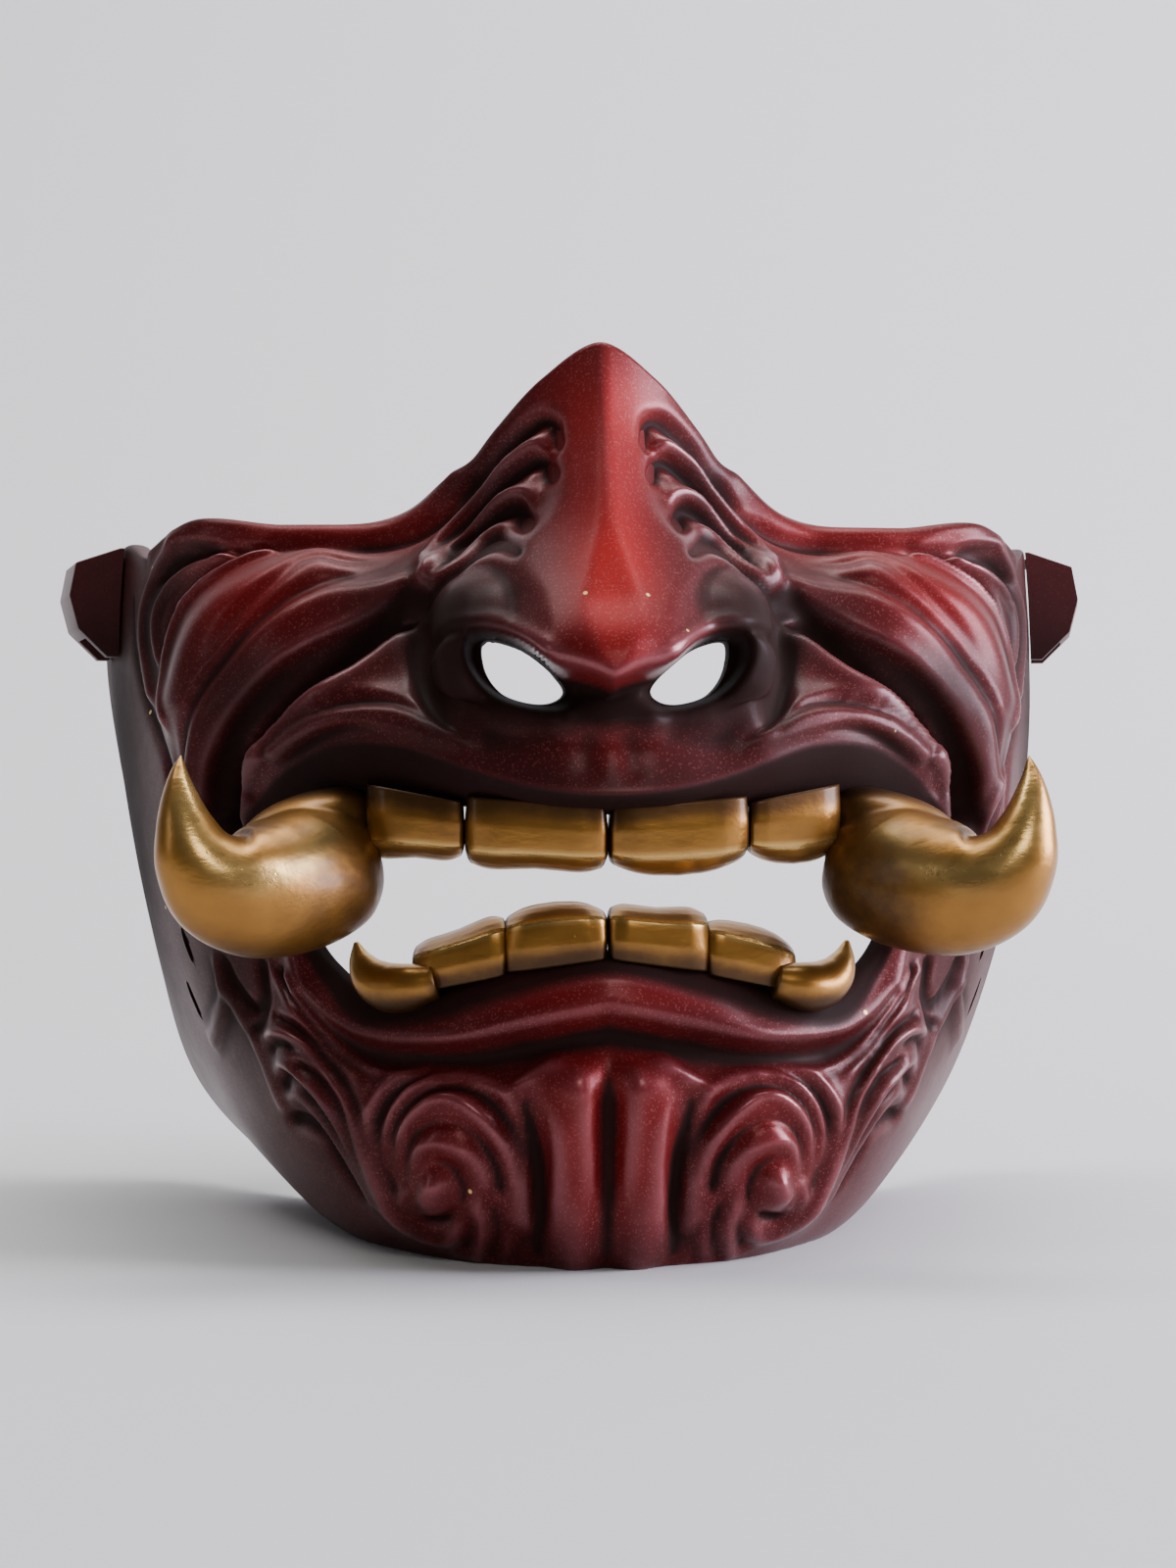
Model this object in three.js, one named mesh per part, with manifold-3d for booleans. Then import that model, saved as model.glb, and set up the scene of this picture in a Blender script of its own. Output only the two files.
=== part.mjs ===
// Samurai half mask with an oni face: one moulded shell, gold teeth and tusks, two strap lugs.
// Millimetres, +Z up, the face looks along -Y, +X is the wearer's left. The mask stands on its chin at z = 0.

import * as THREE from 'three';
import { mergeVertices } from 'three/addons/utils/BufferGeometryUtils.js';
import Module from 'manifold-3d';

const wasm = await Module();
wasm.setup();

// Driving dimensions
const WALL = 3.3;
const GAP = 0.35;
const COLUMNS = 84;
const GUM_ROWS = 3;
const FACE_ROWS = 21;
const TOOTH_SIDES = 16;
const TUSK_SIDES = 18;

const NOSTRIL = { x: 13, z: 92.6, halfLength: 7.8, halfHeight: 4.3, tilt: 0.62 };
const VENTS = [
  { y: 2, z: 48, halfWidth: 1.3, halfHeight: 3.2, tilt: 0.15 },
  { y: 9, z: 38, halfWidth: 1.2, halfHeight: 3.6, tilt: 0.3 },
];
const LUG = { front: 36.5, rear: 55, flare: 0.24, slotX: 88.7, slotY: 46, slotWide: 8.6, slotLong: 11 };
const LUG_PROFILE = [
  [85.2, 99.2], [89.5, 99.2], [94.8, 104.4], [96.4, 110.5], [95.2, 116.6], [87, 119.3], [85.2, 119.3],
];

// Rails of the right half, each from the top centre round the side to the bottom centre
const MOUTH_RAIL = [
  [0, -42, 72.6], [9, -42, 72.6], [17, -41, 73], [24, -39, 74.4], [31, -36, 75.3], [38, -32, 75.3],
  [44, -28, 74], [48, -25, 71.5], [50.5, -22.5, 68], [51, -22, 65], [50.5, -21.5, 61.5], [49, -21.5, 57.5],
  [46.5, -22.5, 52.5], [42.5, -26, 46.5], [36, -31.5, 41.8], [27, -36.5, 42.2],
  [14, -40.5, 46.6], [0, -41.5, 48.4],
];
const LIP_RAIL = [
  [0, -54, 73.8], [9, -53, 74.4], [17.7, -50, 76.4], [25, -46.5, 79], [33, -41.5, 81.5], [41, -36.5, 81.6],
  [48, -30.5, 78.9], [53.2, -26, 75], [56.5, -23, 70.3], [57, -22.3, 66.5],
  [56, -22.3, 62.5], [53.5, -23, 58],
  [49.5, -24.5, 52], [45, -28.5, 44.5], [38.5, -36, 37.8], [28, -43, 38.2], [15, -48.5, 42.3], [0, -51, 46.2],
];
const FACE_RAIL = [
  [0, -47, 96], [10, -45, 96], [20, -40, 95.5], [30, -34, 96], [40, -29, 97], [50, -24, 97],
  [58, -18, 95], [64, -13, 91], [67.5, -10, 84], [69, -9, 76], [69, -9, 69], [67.5, -9, 61],
  [64, -10, 51], [58, -15, 39], [48, -27, 28], [34, -38, 21], [17, -45, 19], [0, -48, 19],
];
const SIDE_RAIL = [
  [0, -37, 124], [9, -33, 122], [18, -27, 118], [28, -20, 114], [39, -16, 111], [52, -12, 111],
  [65, -6, 109], [74, 4, 105], [78.5, 14, 101], [81, 22, 93], [81.5, 24, 81], [80, 24, 65],
  [75, 22, 45], [66, 14, 26], [53, 0, 10], [39, -18, 1.5], [19, -36, -0.5], [0, -41, -0.5],
];
const RIM_RAIL = [
  [0, -28, 147], [9.5, -25, 141.5], [17, -19, 134], [24.5, -12, 125.3], [36, -8, 118.8], [52, -5, 118.3],
  [67, 2, 120.3], [77, 15, 115.5], [83.5, 36, 119.5], [89, 58, 116], [90.5, 62, 98], [86.5, 62, 72],
  [80.5, 61.5, 42], [72.5, 53, 20], [57, 35, 6.5], [43, 25, 1.2], [24, 19, 0], [0, 18, 0],
];

// Raised rolls and hollows of the right half: a path over the face, its half-width and its height
const RELIEF = [
  // The roll round the nose wing
  {
    width: 4.4,
    height: 5,
    path: [[28, -24, 107], [31, -29, 101], [30, -34, 94], [27, -40, 88], [20, -45, 84], [13, -48, 83.5]],
  },
  // The wing dome
  { width: 7.5, height: 5, path: [[22, -28, 107], [26, -32, 100]] },
  // The foot of the septum
  { width: 4, height: 2.2, path: [[0, -49, 85], [6, -48, 84]] },
  // The valley between cheek and mouth
  {
    width: 6.5,
    height: -4.2,
    path: [[33, -26, 103], [43, -28, 96], [51, -25, 90], [58, -20, 84], [61, -18, 77], [61, -18, 71]],
  },
  // The cheek
  {
    width: 9.5,
    height: 4.5,
    path: [[42, -15, 109], [54, -14, 105], [63, -10, 98], [67, -9, 88], [67, -9, 78]],
  },
  // The ring by the ear
  { width: 4.5, height: 1.6, path: [[62, -5, 114], [71, 2, 111], [75, 5, 105], [73, 2, 98]] },
  // The brow rim
  { width: 4.5, height: 1.6, path: [[37, -9, 118], [52, -6, 118], [62, -2, 118], [70, 6, 117]] },
  // The mound of the upper lip
  { width: 6, height: 2.2, path: [[27, -43, 85], [38, -36, 87], [47, -30, 84], [53, -25, 78]] },
  // The hollow beside the bridge
  { width: 4.5, height: -2.2, path: [[11, -27, 134], [15, -25, 127], [17, -25, 119]] },
  // The crease under the lower lip
  {
    width: 4.5,
    height: -3,
    path: [[0, -50, 37], [12, -48, 34.5], [22, -45, 32.5], [36, -37, 33], [46, -28, 39]],
  },
  // A chin lobe
  { width: 4.2, height: 3, path: [[5.5, -49, 31], [6, -48, 22], [5.5, -46, 11], [5.5, -42, 1]] },
  // The hollow beside the lobe
  { width: 3.6, height: -2.2, path: [[12, -48, 30], [13.5, -47, 20], [13, -45, 10], [13, -41, 2]] },
  // The swirl
  { width: 9, height: 4, path: [[24, -43, 21], [25, -41, 11]] },
  // The jaw strands
  {
    width: 6.5,
    height: 2.4,
    path: [[34, -34, 10], [39, -34, 20], [44, -31, 28], [51, -24, 35], [58, -14, 42]],
  },
];

const CORNERS_PER_HALF = MOUTH_RAIL.length - 1;

function catmull(a, b, c, d, f) {
  return b + 0.5 * f * (c - a + f * (2 * a - 5 * b + 4 * c - d + f * (3 * (b - c) + d - a)));
}

// A point on the closed, mirrored rail, with t from 0 (top centre) to 1 (bottom centre)
function railPoint(rail, t) {
  const u = t * CORNERS_PER_HALF;
  const start = Math.min(Math.floor(u), CORNERS_PER_HALF - 1);
  const corner = (i) => {
    const k = i < 0 ? -i : i > CORNERS_PER_HALF ? 2 * CORNERS_PER_HALF - i : i;
    const mirrored = k !== i;
    return mirrored ? [-rail[k][0], rail[k][1], rail[k][2]] : rail[k];
  };
  const [a, b, c, d] = [corner(start - 1), corner(start), corner(start + 1), corner(start + 2)];
  return new THREE.Vector3(...[0, 1, 2].map((i) => catmull(a[i], b[i], c[i], d[i], u - start)));
}

// One column of the shell, from the gum edge over the lip and across the face to the outer rim
function columnPoints(t) {
  const gum = railPoint(MOUTH_RAIL, t);
  const lip = railPoint(LIP_RAIL, t);
  const points = [];
  for (let i = 0; i < GUM_ROWS; i += 1) points.push(gum.clone().lerp(lip, i / GUM_ROWS));
  const rails = [lip, railPoint(FACE_RAIL, t), railPoint(SIDE_RAIL, t), railPoint(RIM_RAIL, t)];
  const curve = new THREE.CatmullRomCurve3(rails, false, 'centripetal');
  curve.arcLengthDivisions = 120;
  return points.concat(curve.getSpacedPoints(FACE_ROWS));
}

function table(value, stops) {
  if (value <= stops[0][0]) return stops[0][1];
  for (let i = 1; i < stops.length; i += 1) {
    const [x0, y0] = stops[i - 1];
    const [x1, y1] = stops[i];
    if (value <= x1) return y0 + ((y1 - y0) * (value - x0)) / (x1 - x0);
  }
  return stops[stops.length - 1][1];
}

const softplus = (v, s) => (v > 20 * s ? v : s * Math.log1p(Math.exp(v / s)));

// Depth of the nose's ridge by height, from under the tip to the bridge peak
const NOSE_RIDGE = [
  [84, -62.5], [91, -62.5], [96, -61.5], [105, -54.5], [120, -44.5], [135, -35], [147, -28.5],
];

// Depth of the nose front at (x, z): a ridged wedge from the bridge peak to the tip, cut under the tip
function noseDepth(x, z, inset) {
  const side = Math.abs(x);
  const ridge = table(z - inset, NOSE_RIDGE);
  const slope = table(z, [[90, 0.42], [97, 0.5], [108, 0.72], [120, 0.85], [147, 0.95]]);
  const flank = table(z, [[92, 0.9], [104, 0.55], [118, 0.2], [130, 0]]);
  const underside = 91 + 0.42 * Math.min(side, 24) + inset;
  const round = 3.2 + inset;
  return ridge + 1.25 * inset + slope * (Math.hypot(side, round) - round)
    + flank * softplus(side - 9, 1.5) + 2.6 * softplus(underside - z, 0.8) + 2 * softplus(side - 36, 2);
}

function withNose(point, inset) {
  const nose = noseDepth(point.x, point.z, inset);
  point.y -= softplus(point.y - nose, 1.2);
  return point;
}

// Height of the rolls and hollows at a point of the plain face
function reliefHeight(point) {
  const right = new THREE.Vector3(Math.abs(point.x), point.y, point.z);
  const nearest = new THREE.Vector3();
  let height = 0;
  for (const { width, height: peak, path } of RELIEF) {
    let distance = Infinity;
    for (let i = 1; i < path.length; i += 1) {
      const line = new THREE.Line3(new THREE.Vector3(...path[i - 1]), new THREE.Vector3(...path[i]));
      line.closestPointToPoint(right, true, nearest);
      distance = Math.min(distance, nearest.distanceTo(right));
    }
    height += peak * Math.exp(-((distance / width) ** 2));
  }
  return height;
}

function gridNormal(grid, column, row) {
  const columns = grid.length;
  const rows = grid[0].length;
  const along = grid[(column + 1) % columns][row].clone().sub(grid[(column + columns - 1) % columns][row]);
  const across = grid[column][Math.min(row + 1, rows - 1)].clone().sub(grid[column][Math.max(row - 1, 0)]);
  return along.cross(across).normalize();
}

// The face before the relief is added, as a closed ring of columns
function plainFace() {
  const grid = [];
  for (let i = 0; i < COLUMNS; i += 1) {
    const turn = (2 * i) / COLUMNS;
    const left = turn > 1;
    const column = columnPoints(left ? 2 - turn : turn);
    if (left) column.forEach((p) => { p.x = -p.x; });
    grid.push(column);
  }
  return grid;
}

function smoothed(values) {
  return values.map((column, i) => column.map((value, j) => {
    const beside = values[(i + 1) % values.length][j] + values[(i + values.length - 1) % values.length][j];
    const above = column[Math.min(j + 1, column.length - 1)] + column[Math.max(j - 1, 0)];
    return 0.4 * value + 0.15 * (beside + above);
  }));
}

// Outer skin, and the plainer inner skin one wall thickness behind it; extra swells the shell all round
function skins(extra) {
  const plain = plainFace();
  const normals = plain.map((column, i) => column.map((_, j) => gridNormal(plain, i, j)));
  const heights = plain.map((column) => column.map(reliefHeight));
  let hollows = heights.map((column) => column.map((h) => Math.min(h, 0) - WALL));
  for (let pass = 0; pass < 3; pass += 1) hollows = smoothed(hollows);
  const skin = (height, inset, floor) => plain.map((column, i) => column.map((point, j) => {
    const moved = withNose(point.clone().addScaledVector(normals[i][j], height[i][j]), inset);
    moved.z = Math.max(moved.z, floor);
    return moved;
  }));
  const fade = (j) => Math.min(1, j / GUM_ROWS);
  const outer = skin(heights.map((column) => column.map((h, j) => h * fade(j) + extra)), -extra, -extra);
  const inner = skin(hollows.map((column) => column.map((h) => h - extra)), WALL + extra, WALL + extra);
  [outer, inner].forEach((side) => side.forEach((column) => {
    for (const [edge, within] of [[0, 2], [column.length - 1, column.length - 3]]) {
      const outward = column[edge].clone().sub(column[within]).normalize();
      column[edge].addScaledVector(outward, extra);
    }
  }));
  return { outer, inner };
}

// One closed body from the two skins and the walls along the gum edge and the outer rim
function shellGeometry(extra = 0) {
  const { outer, inner } = skins(extra);
  const rows = outer[0].length;
  const positions = [...outer.flat(), ...inner.flat()].flatMap((p) => [p.x, p.y, p.z]);
  const index = [];
  const quad = (a, b, c, d) => index.push(a, c, b, a, d, c);
  const offset = COLUMNS * rows;
  for (let i = 0; i < COLUMNS; i += 1) {
    const here = i * rows;
    const next = ((i + 1) % COLUMNS) * rows;
    for (let j = 0; j < rows - 1; j += 1) {
      quad(here + j, here + j + 1, next + j + 1, next + j);
      quad(offset + next + j, offset + next + j + 1, offset + here + j + 1, offset + here + j);
    }
    const last = rows - 1;
    quad(here + last, offset + here + last, offset + next + last, next + last);
    quad(next, offset + next, offset + here, here);
  }
  return bodyGeometry(positions, index);
}

function bodyGeometry(positions, index) {
  const geometry = new THREE.BufferGeometry();
  geometry.setAttribute('position', new THREE.Float32BufferAttribute(positions, 3));
  geometry.setIndex(index);
  return geometry;
}

function solid(geometry) {
  const bare = geometry.clone();
  bare.deleteAttribute('normal');
  bare.deleteAttribute('uv');
  const merged = mergeVertices(bare, 1e-4);
  const vertProperties = new Float32Array(merged.attributes.position.array);
  const triVerts = new Uint32Array(merged.index.array);
  return new wasm.Manifold(new wasm.Mesh({ numProp: 3, vertProperties, triVerts }));
}

function geometryOf(body) {
  const mesh = body.getMesh();
  return bodyGeometry(Array.from(mesh.vertProperties), Array.from(mesh.triVerts));
}

function stadium(halfLength, halfHeight) {
  const shape = new THREE.Shape();
  const straight = halfLength - halfHeight;
  shape.absarc(straight, 0, halfHeight, -Math.PI / 2, Math.PI / 2, false);
  shape.absarc(-straight, 0, halfHeight, Math.PI / 2, 1.5 * Math.PI, false);
  return shape;
}

// A bar of stadium section that cuts a nostril, along Y
function nostrilCutter(side) {
  const { x, z, halfLength, halfHeight, tilt } = NOSTRIL;
  const outline = stadium(halfLength, halfHeight);
  const bar = new THREE.ExtrudeGeometry(outline, { depth: 60, bevelEnabled: false, curveSegments: 6 });
  bar.rotateZ(side * tilt);
  bar.rotateX(Math.PI / 2);
  bar.translate(side * x, -14, z);
  return solid(bar);
}

// A bar of stadium section that cuts one vent through both side plates, along X
function ventCutter({ y, z, halfWidth, halfHeight, tilt }) {
  const outline = stadium(halfHeight, halfWidth);
  const bar = new THREE.ExtrudeGeometry(outline, { depth: 200, bevelEnabled: false, curveSegments: 4 });
  bar.rotateZ(Math.PI / 2 - tilt);
  bar.rotateY(Math.PI / 2);
  bar.rotateX(Math.PI / 2);
  bar.translate(-100, y, z);
  return solid(bar);
}

// Stacked rings of a rounded section, closed at both ends: each ring is { at, u, v, power }
function loft(rings, sides) {
  const positions = [];
  for (const { at, u, v, power = 2 } of rings) {
    for (let k = 0; k < sides; k += 1) {
      const angle = (2 * Math.PI * k) / sides;
      const [c, s] = [Math.cos(angle), Math.sin(angle)];
      const cu = Math.sign(c) * Math.abs(c) ** (2 / power);
      const sv = Math.sign(s) * Math.abs(s) ** (2 / power);
      positions.push(...at.map((value, axis) => value + u[axis] * cu + v[axis] * sv));
    }
  }
  const index = [];
  for (let r = 0; r < rings.length - 1; r += 1) {
    for (let k = 0; k < sides; k += 1) {
      const [a, b] = [r * sides + k, r * sides + ((k + 1) % sides)];
      index.push(a, b, b + sides, a, b + sides, a + sides);
    }
  }
  const top = (rings.length - 1) * sides;
  for (let k = 1; k < sides - 1; k += 1) {
    index.push(0, k + 1, k);
    index.push(top, top + k, top + k + 1);
  }
  const geometry = bodyGeometry(positions, index);
  return solid(geometry).volume() < 0 ? flipped(geometry) : geometry;
}

function flipped(geometry) {
  const index = Array.from(geometry.index.array);
  for (let i = 0; i < index.length; i += 3) [index[i], index[i + 1]] = [index[i + 1], index[i]];
  geometry.setIndex(index);
  return geometry;
}

// A flat tooth: x range, root and cutting edge heights, front depth, and how far the outer end sits back
function toothGeometry({ x0, x1, root, edge, front, thick, turn = 0, lean = 0 }) {
  const centre = (x0 + x1) / 2;
  const half = (x1 - x0) / 2;
  const stations = [
    { s: 0, wide: 0.97, deep: 0.96, shift: 0.4 },
    { s: 0.35, wide: 1, deep: 1, shift: 0 },
    { s: 0.72, wide: 0.99, deep: 0.97, shift: 0.1 },
    { s: 0.9, wide: 0.95, deep: 0.8, shift: 0.8 },
    { s: 1, wide: 0.88, deep: 0.6, shift: 1.4 },
  ];
  const rings = stations.map(({ s, wide, deep, shift }) => ({
    at: [centre, front + thick / 2 + shift, root + (edge - root) * s],
    u: [half * wide * Math.cos(turn), half * wide * Math.sin(turn), half * wide * lean],
    v: [0, (thick / 2) * deep, 0],
    power: 5,
  }));
  return loft(rings, TOOTH_SIDES);
}

const UPPER_TEETH = {
  upper_tooth_1: {
    x0: -36.4, x1: -22.3, root: 77.5, edge: 64,
    front: -45.5, thick: 10, turn: -0.38, lean: -0.06,
  },
  upper_tooth_2: {
    x0: -21.5, x1: -0.3, root: 75, edge: 62.4,
    front: -50.5, thick: 10, turn: -0.1, lean: -0.05,
  },
  upper_tooth_3: {
    x0: 0.3, x1: 21.5, root: 75, edge: 62.4,
    front: -50.5, thick: 10, turn: 0.1, lean: 0.05,
  },
  upper_tooth_4: {
    x0: 22.3, x1: 36.4, root: 77.5, edge: 64,
    front: -45.5, thick: 10, turn: 0.38, lean: 0.06,
  },
};
const LOWER_TEETH = {
  lower_tooth_1: {
    x0: -29.4, x1: -15.9, root: 43.8, edge: 53.2,
    front: -46.5, thick: 9, turn: -0.3, lean: 0.22,
  },
  lower_tooth_2: {
    x0: -15.2, x1: -0.3, root: 46.4, edge: 56.6,
    front: -49, thick: 9, turn: -0.1, lean: 0.09,
  },
  lower_tooth_3: {
    x0: 0.3, x1: 15.2, root: 46.4, edge: 56.6,
    front: -49, thick: 9, turn: 0.1, lean: -0.09,
  },
  lower_tooth_4: {
    x0: 15.9, x1: 29.4, root: 43.8, edge: 53.2,
    front: -46.5, thick: 9, turn: 0.3, lean: -0.22,
  },
};

// Centre line of the left tusk with its radius across and along, from the root in the mouth corner to the tip
const TUSK_LINE = [
  [38.6, -33.5, 62.2, 4.8], [42, -37.5, 61.6, 7.6], [46.5, -41, 61, 9.6], [51.5, -45, 59.8, 9.8],
  [56.5, -48.6, 59.8, 9.3], [60.6, -51, 62, 7.8], [63.2, -52.2, 66, 5.8],
  [64.6, -52, 71, 3.9], [65.3, -50.8, 75.5, 2.2], [65.3, -49, 80, 0.4],
];
const TUSK_ROOT = [[38.5, -33, 71, 5], [45, -32, 69.5, 7], [50, -30.5, 66, 6]];
const FANG_LINE = [
  [32.2, -39.5, 42.5, 2.6], [34.6, -37.5, 43.5, 3.6], [37, -35.5, 45, 3.5],
  [38.4, -34.5, 47.5, 2.2], [38.8, -34, 49.6, 0.6],
];

// A horn along a centre line: rings stand square to it
function hornGeometry(line, side, sides) {
  const curve = new THREE.CatmullRomCurve3(line.map(([x, y, z]) => new THREE.Vector3(side * x, y, z)));
  const steps = (line.length - 1) * 2;
  const rings = [];
  for (let i = 0; i <= steps; i += 1) {
    const t = i / steps;
    const radius = table(t, line.map((p, k) => [k / (line.length - 1), p[3]]));
    const tangent = curve.getTangent(t);
    const across = new THREE.Vector3(0, 1, 0).cross(tangent).normalize();
    const up = tangent.clone().cross(across);
    rings.push({
      at: curve.getPoint(t).toArray(),
      u: across.multiplyScalar(radius).toArray(),
      v: up.multiplyScalar(radius).toArray(),
    });
  }
  return loft(rings, sides);
}

// Pieces that meet the shell are trimmed back to a gap
const shellWithGap = solid(shellGeometry(GAP));

function trimmed(geometry) {
  return geometryOf(solid(geometry).subtract(shellWithGap));
}

function tuskGeometry(side) {
  const horn = solid(hornGeometry(TUSK_LINE, side, TUSK_SIDES));
  const root = solid(hornGeometry(TUSK_ROOT, side, TUSK_SIDES));
  return geometryOf(horn.add(root).subtract(shellWithGap));
}

function lugGeometry(side) {
  const outline = new THREE.Shape(LUG_PROFILE.map(([x, z]) => new THREE.Vector2(side * x, z)));
  const depth = LUG.rear - LUG.front;
  const block = new THREE.ExtrudeGeometry(outline, { depth, bevelEnabled: false });
  block.rotateX(Math.PI / 2);
  block.translate(0, LUG.rear, 0);
  const slot = new THREE.BoxGeometry(LUG.slotWide, LUG.slotLong, 60);
  slot.translate(side * LUG.slotX, LUG.slotY, 110);
  const slotted = geometryOf(solid(block).subtract(solid(slot)));
  slotted.applyMatrix4(new THREE.Matrix4().makeShear(0, 0, side * LUG.flare, 0, 0, 0));
  slotted.translate(-side * LUG.flare * LUG.slotY, 0, 0);
  return geometryOf(solid(slotted).subtract(shellWithGap));
}

function shellBody() {
  let body = solid(shellGeometry());
  const cutters = [nostrilCutter(1), nostrilCutter(-1), ...VENTS.map(ventCutter)];
  cutters.forEach((cutter) => { body = body.subtract(cutter); });
  return geometryOf(body);
}

function paint(color, roughness, metalness) {
  return new THREE.MeshStandardMaterial({ color, roughness, metalness });
}

const group = new THREE.Group();

function place(name, geometry, material) {
  const mesh = new THREE.Mesh(geometry, material);
  mesh.name = name;
  group.add(mesh);
}

place('face_shell', shellBody(), paint(0x6e1418, 0.38, 0.35));
for (const [name, tooth] of Object.entries({ ...UPPER_TEETH, ...LOWER_TEETH })) {
  place(name, trimmed(toothGeometry(tooth)), paint(0xb98a2e, 0.35, 0.8));
}
for (const [name, side] of [['right', -1], ['left', 1]]) {
  place(`tusk_${name}`, tuskGeometry(side), paint(0xbf9236, 0.32, 0.8));
  const fang = hornGeometry(FANG_LINE, side, TOOTH_SIDES);
  place(`lower_fang_${name}`, trimmed(fang), paint(0xb98a2e, 0.35, 0.8));
  place(`strap_lug_${name}`, lugGeometry(side), paint(0x661318, 0.4, 0.35));
}

export default group;
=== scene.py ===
"""Samurai half mask with an oni face: lacquered shell, gold teeth and tusks, strap lugs and stage."""

import math

import bmesh
import bpy
import numpy as np
from bpy.props import FloatProperty, FloatVectorProperty, PointerProperty
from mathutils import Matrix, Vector


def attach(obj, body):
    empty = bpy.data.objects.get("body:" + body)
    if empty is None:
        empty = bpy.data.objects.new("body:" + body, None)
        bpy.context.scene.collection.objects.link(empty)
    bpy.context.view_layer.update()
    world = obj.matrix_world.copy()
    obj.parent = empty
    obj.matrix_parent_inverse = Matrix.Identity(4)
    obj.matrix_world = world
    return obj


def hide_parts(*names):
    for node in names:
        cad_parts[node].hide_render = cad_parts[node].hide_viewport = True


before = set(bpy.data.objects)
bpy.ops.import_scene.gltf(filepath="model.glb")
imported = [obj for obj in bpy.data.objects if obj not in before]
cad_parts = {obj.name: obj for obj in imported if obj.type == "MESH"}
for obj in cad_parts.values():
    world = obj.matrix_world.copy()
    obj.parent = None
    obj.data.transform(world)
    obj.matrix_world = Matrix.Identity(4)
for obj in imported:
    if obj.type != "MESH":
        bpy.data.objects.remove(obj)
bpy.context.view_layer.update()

bl_info = {
    "name": "Oni half mask",
    "version": (1, 0, 0),
    "blender": (4, 5, 0),
    "location": "View3D > Sidebar > Oni mask",
    "description": "Builds the shell, teeth, tusks and strap lugs of a samurai half mask",
    "category": "Object",
}

MM = 0.001

# --- Shape of the mask: its +X half, on the wearer's left, in millimetres ---

# Rails from the top centre round the side to the bottom centre
MOUTH_RAIL = [
    (0, -42, 70.9), (9, -42, 70.9), (17, -41, 71.5), (24, -39, 72.4), (31, -36, 73.2), (38, -32, 73.6),
    (44, -28, 73), (48, -25, 71.2), (50.5, -22.5, 68), (51, -22, 65), (50.5, -21.5, 61.5), (49, -21.5, 57.5),
    (46.5, -22.5, 52.5), (42.5, -26, 47), (36, -31.5, 42.8), (27, -36.5, 43.8), (14, -40.5, 48),
    (0, -41.5, 49.8),
]
LIP_RAIL = [
    (0, -54, 73.8), (9, -53, 74.4), (17.7, -50, 76.4), (25, -46.5, 79), (33, -41.5, 81.5), (41, -36.5, 81.6),
    (48, -30.5, 78.9), (53.2, -26, 75), (56.5, -23, 70.3), (57, -22.3, 66.5), (56, -22.3, 62.5),
    (53.5, -23, 58), (49.5, -24.5, 52), (45, -28.5, 44.5), (38.5, -36, 37.8), (28, -43, 38.2),
    (15, -48.5, 42.3), (0, -51, 46.2),
]
FACE_RAIL = [
    (0, -47, 96), (10, -45, 96), (20, -40, 95.5), (30, -34, 96), (40, -29, 97), (50, -24, 97), (58, -18, 95),
    (64, -13, 91), (67.5, -10, 84), (69, -9, 76), (69, -9, 69), (67.5, -9, 61), (64, -10, 51), (58, -15, 39),
    (48, -27, 28), (34, -38, 21), (17, -45, 19), (0, -48, 19),
]
SIDE_RAIL = [
    (0, -37, 124), (9, -33, 122), (18, -27, 118), (28, -20, 114), (39, -16, 111), (52, -12, 111),
    (65, -6, 109), (74, 4, 105), (78.5, 14, 101), (81, 22, 93), (81.5, 24, 81), (80, 24, 65), (75, 22, 45),
    (66, 14, 26), (53, 0, 10), (39, -18, 1.5), (19, -36, -0.5), (0, -41, -0.5),
]
RIM_RAIL = [
    (0, -28, 147), (9.5, -25, 141.5), (17, -19, 134), (24.5, -12, 125.3), (36, -8, 118.8), (52, -5, 118.3),
    (67, 2, 120.3), (77, 15, 115.5), (83.5, 36, 119.5), (89, 58, 116), (90.5, 62, 98), (86.5, 62, 72),
    (80.5, 61.5, 42), (72.5, 53, 20), (57, 35, 6.5), (43, 25, 1.2), (24, 19, 0), (0, 18, 0),
]

# How many columns of the shell's mesh lie between one rail point and the next, from top to bottom
COLUMNS_BETWEEN = (18, 18, 18, 18, 18, 18, 20, 18, 14, 10, 10, 14, 20, 24, 26, 26, 24)
GUM_ROWS = 9
ROWS_BETWEEN_RAILS = (44, 42, 36)
EDGE_ROWS = 5

# Nose by height: depth of the ridge, half width of the flat facet on it, how fast its planes fall back,
# and the step beside them
NOSE_RIDGE = ((84, -62.5), (91, -62.5), (96, -61.5), (105, -54.5), (120, -44.5), (135, -35), (147, -28.5))
NOSE_FACET = ((90, 0.2), (93, 1.4), (98, 3.3), (103, 4.4), (109, 3), (116, 1.2), (126, 0.6), (147, 0.8))
NOSE_PLANES = ((90, 0.42), (97, 0.5), (108, 0.72), (120, 0.85), (147, 0.95))
NOSE_STEP = ((92, 0.9), (104, 0.55), (112, 0.4), (118, 1.1), (134, 1.1), (141, 0))
NOSE_STEP_OUT = ((92, 9), (104, 10), (113, 13), (118, 8.4), (130, 7.2), (140, 6.5))
# Lower edge of the nose: its height at the tip, how it rises outwards and how far, and the slope under it
NOSE_UNDER = {"height": 91, "rise": 0.42, "out": 24, "slope": 8}
NOSE_HALF_WIDTH = 36
# Dome of each nose wing: centre, half width, half height and depth
NOSE_WING = {"centre": (18.3, -33.5, 97.4), "wide": 9.6, "high": 12, "deep": 15}

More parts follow.
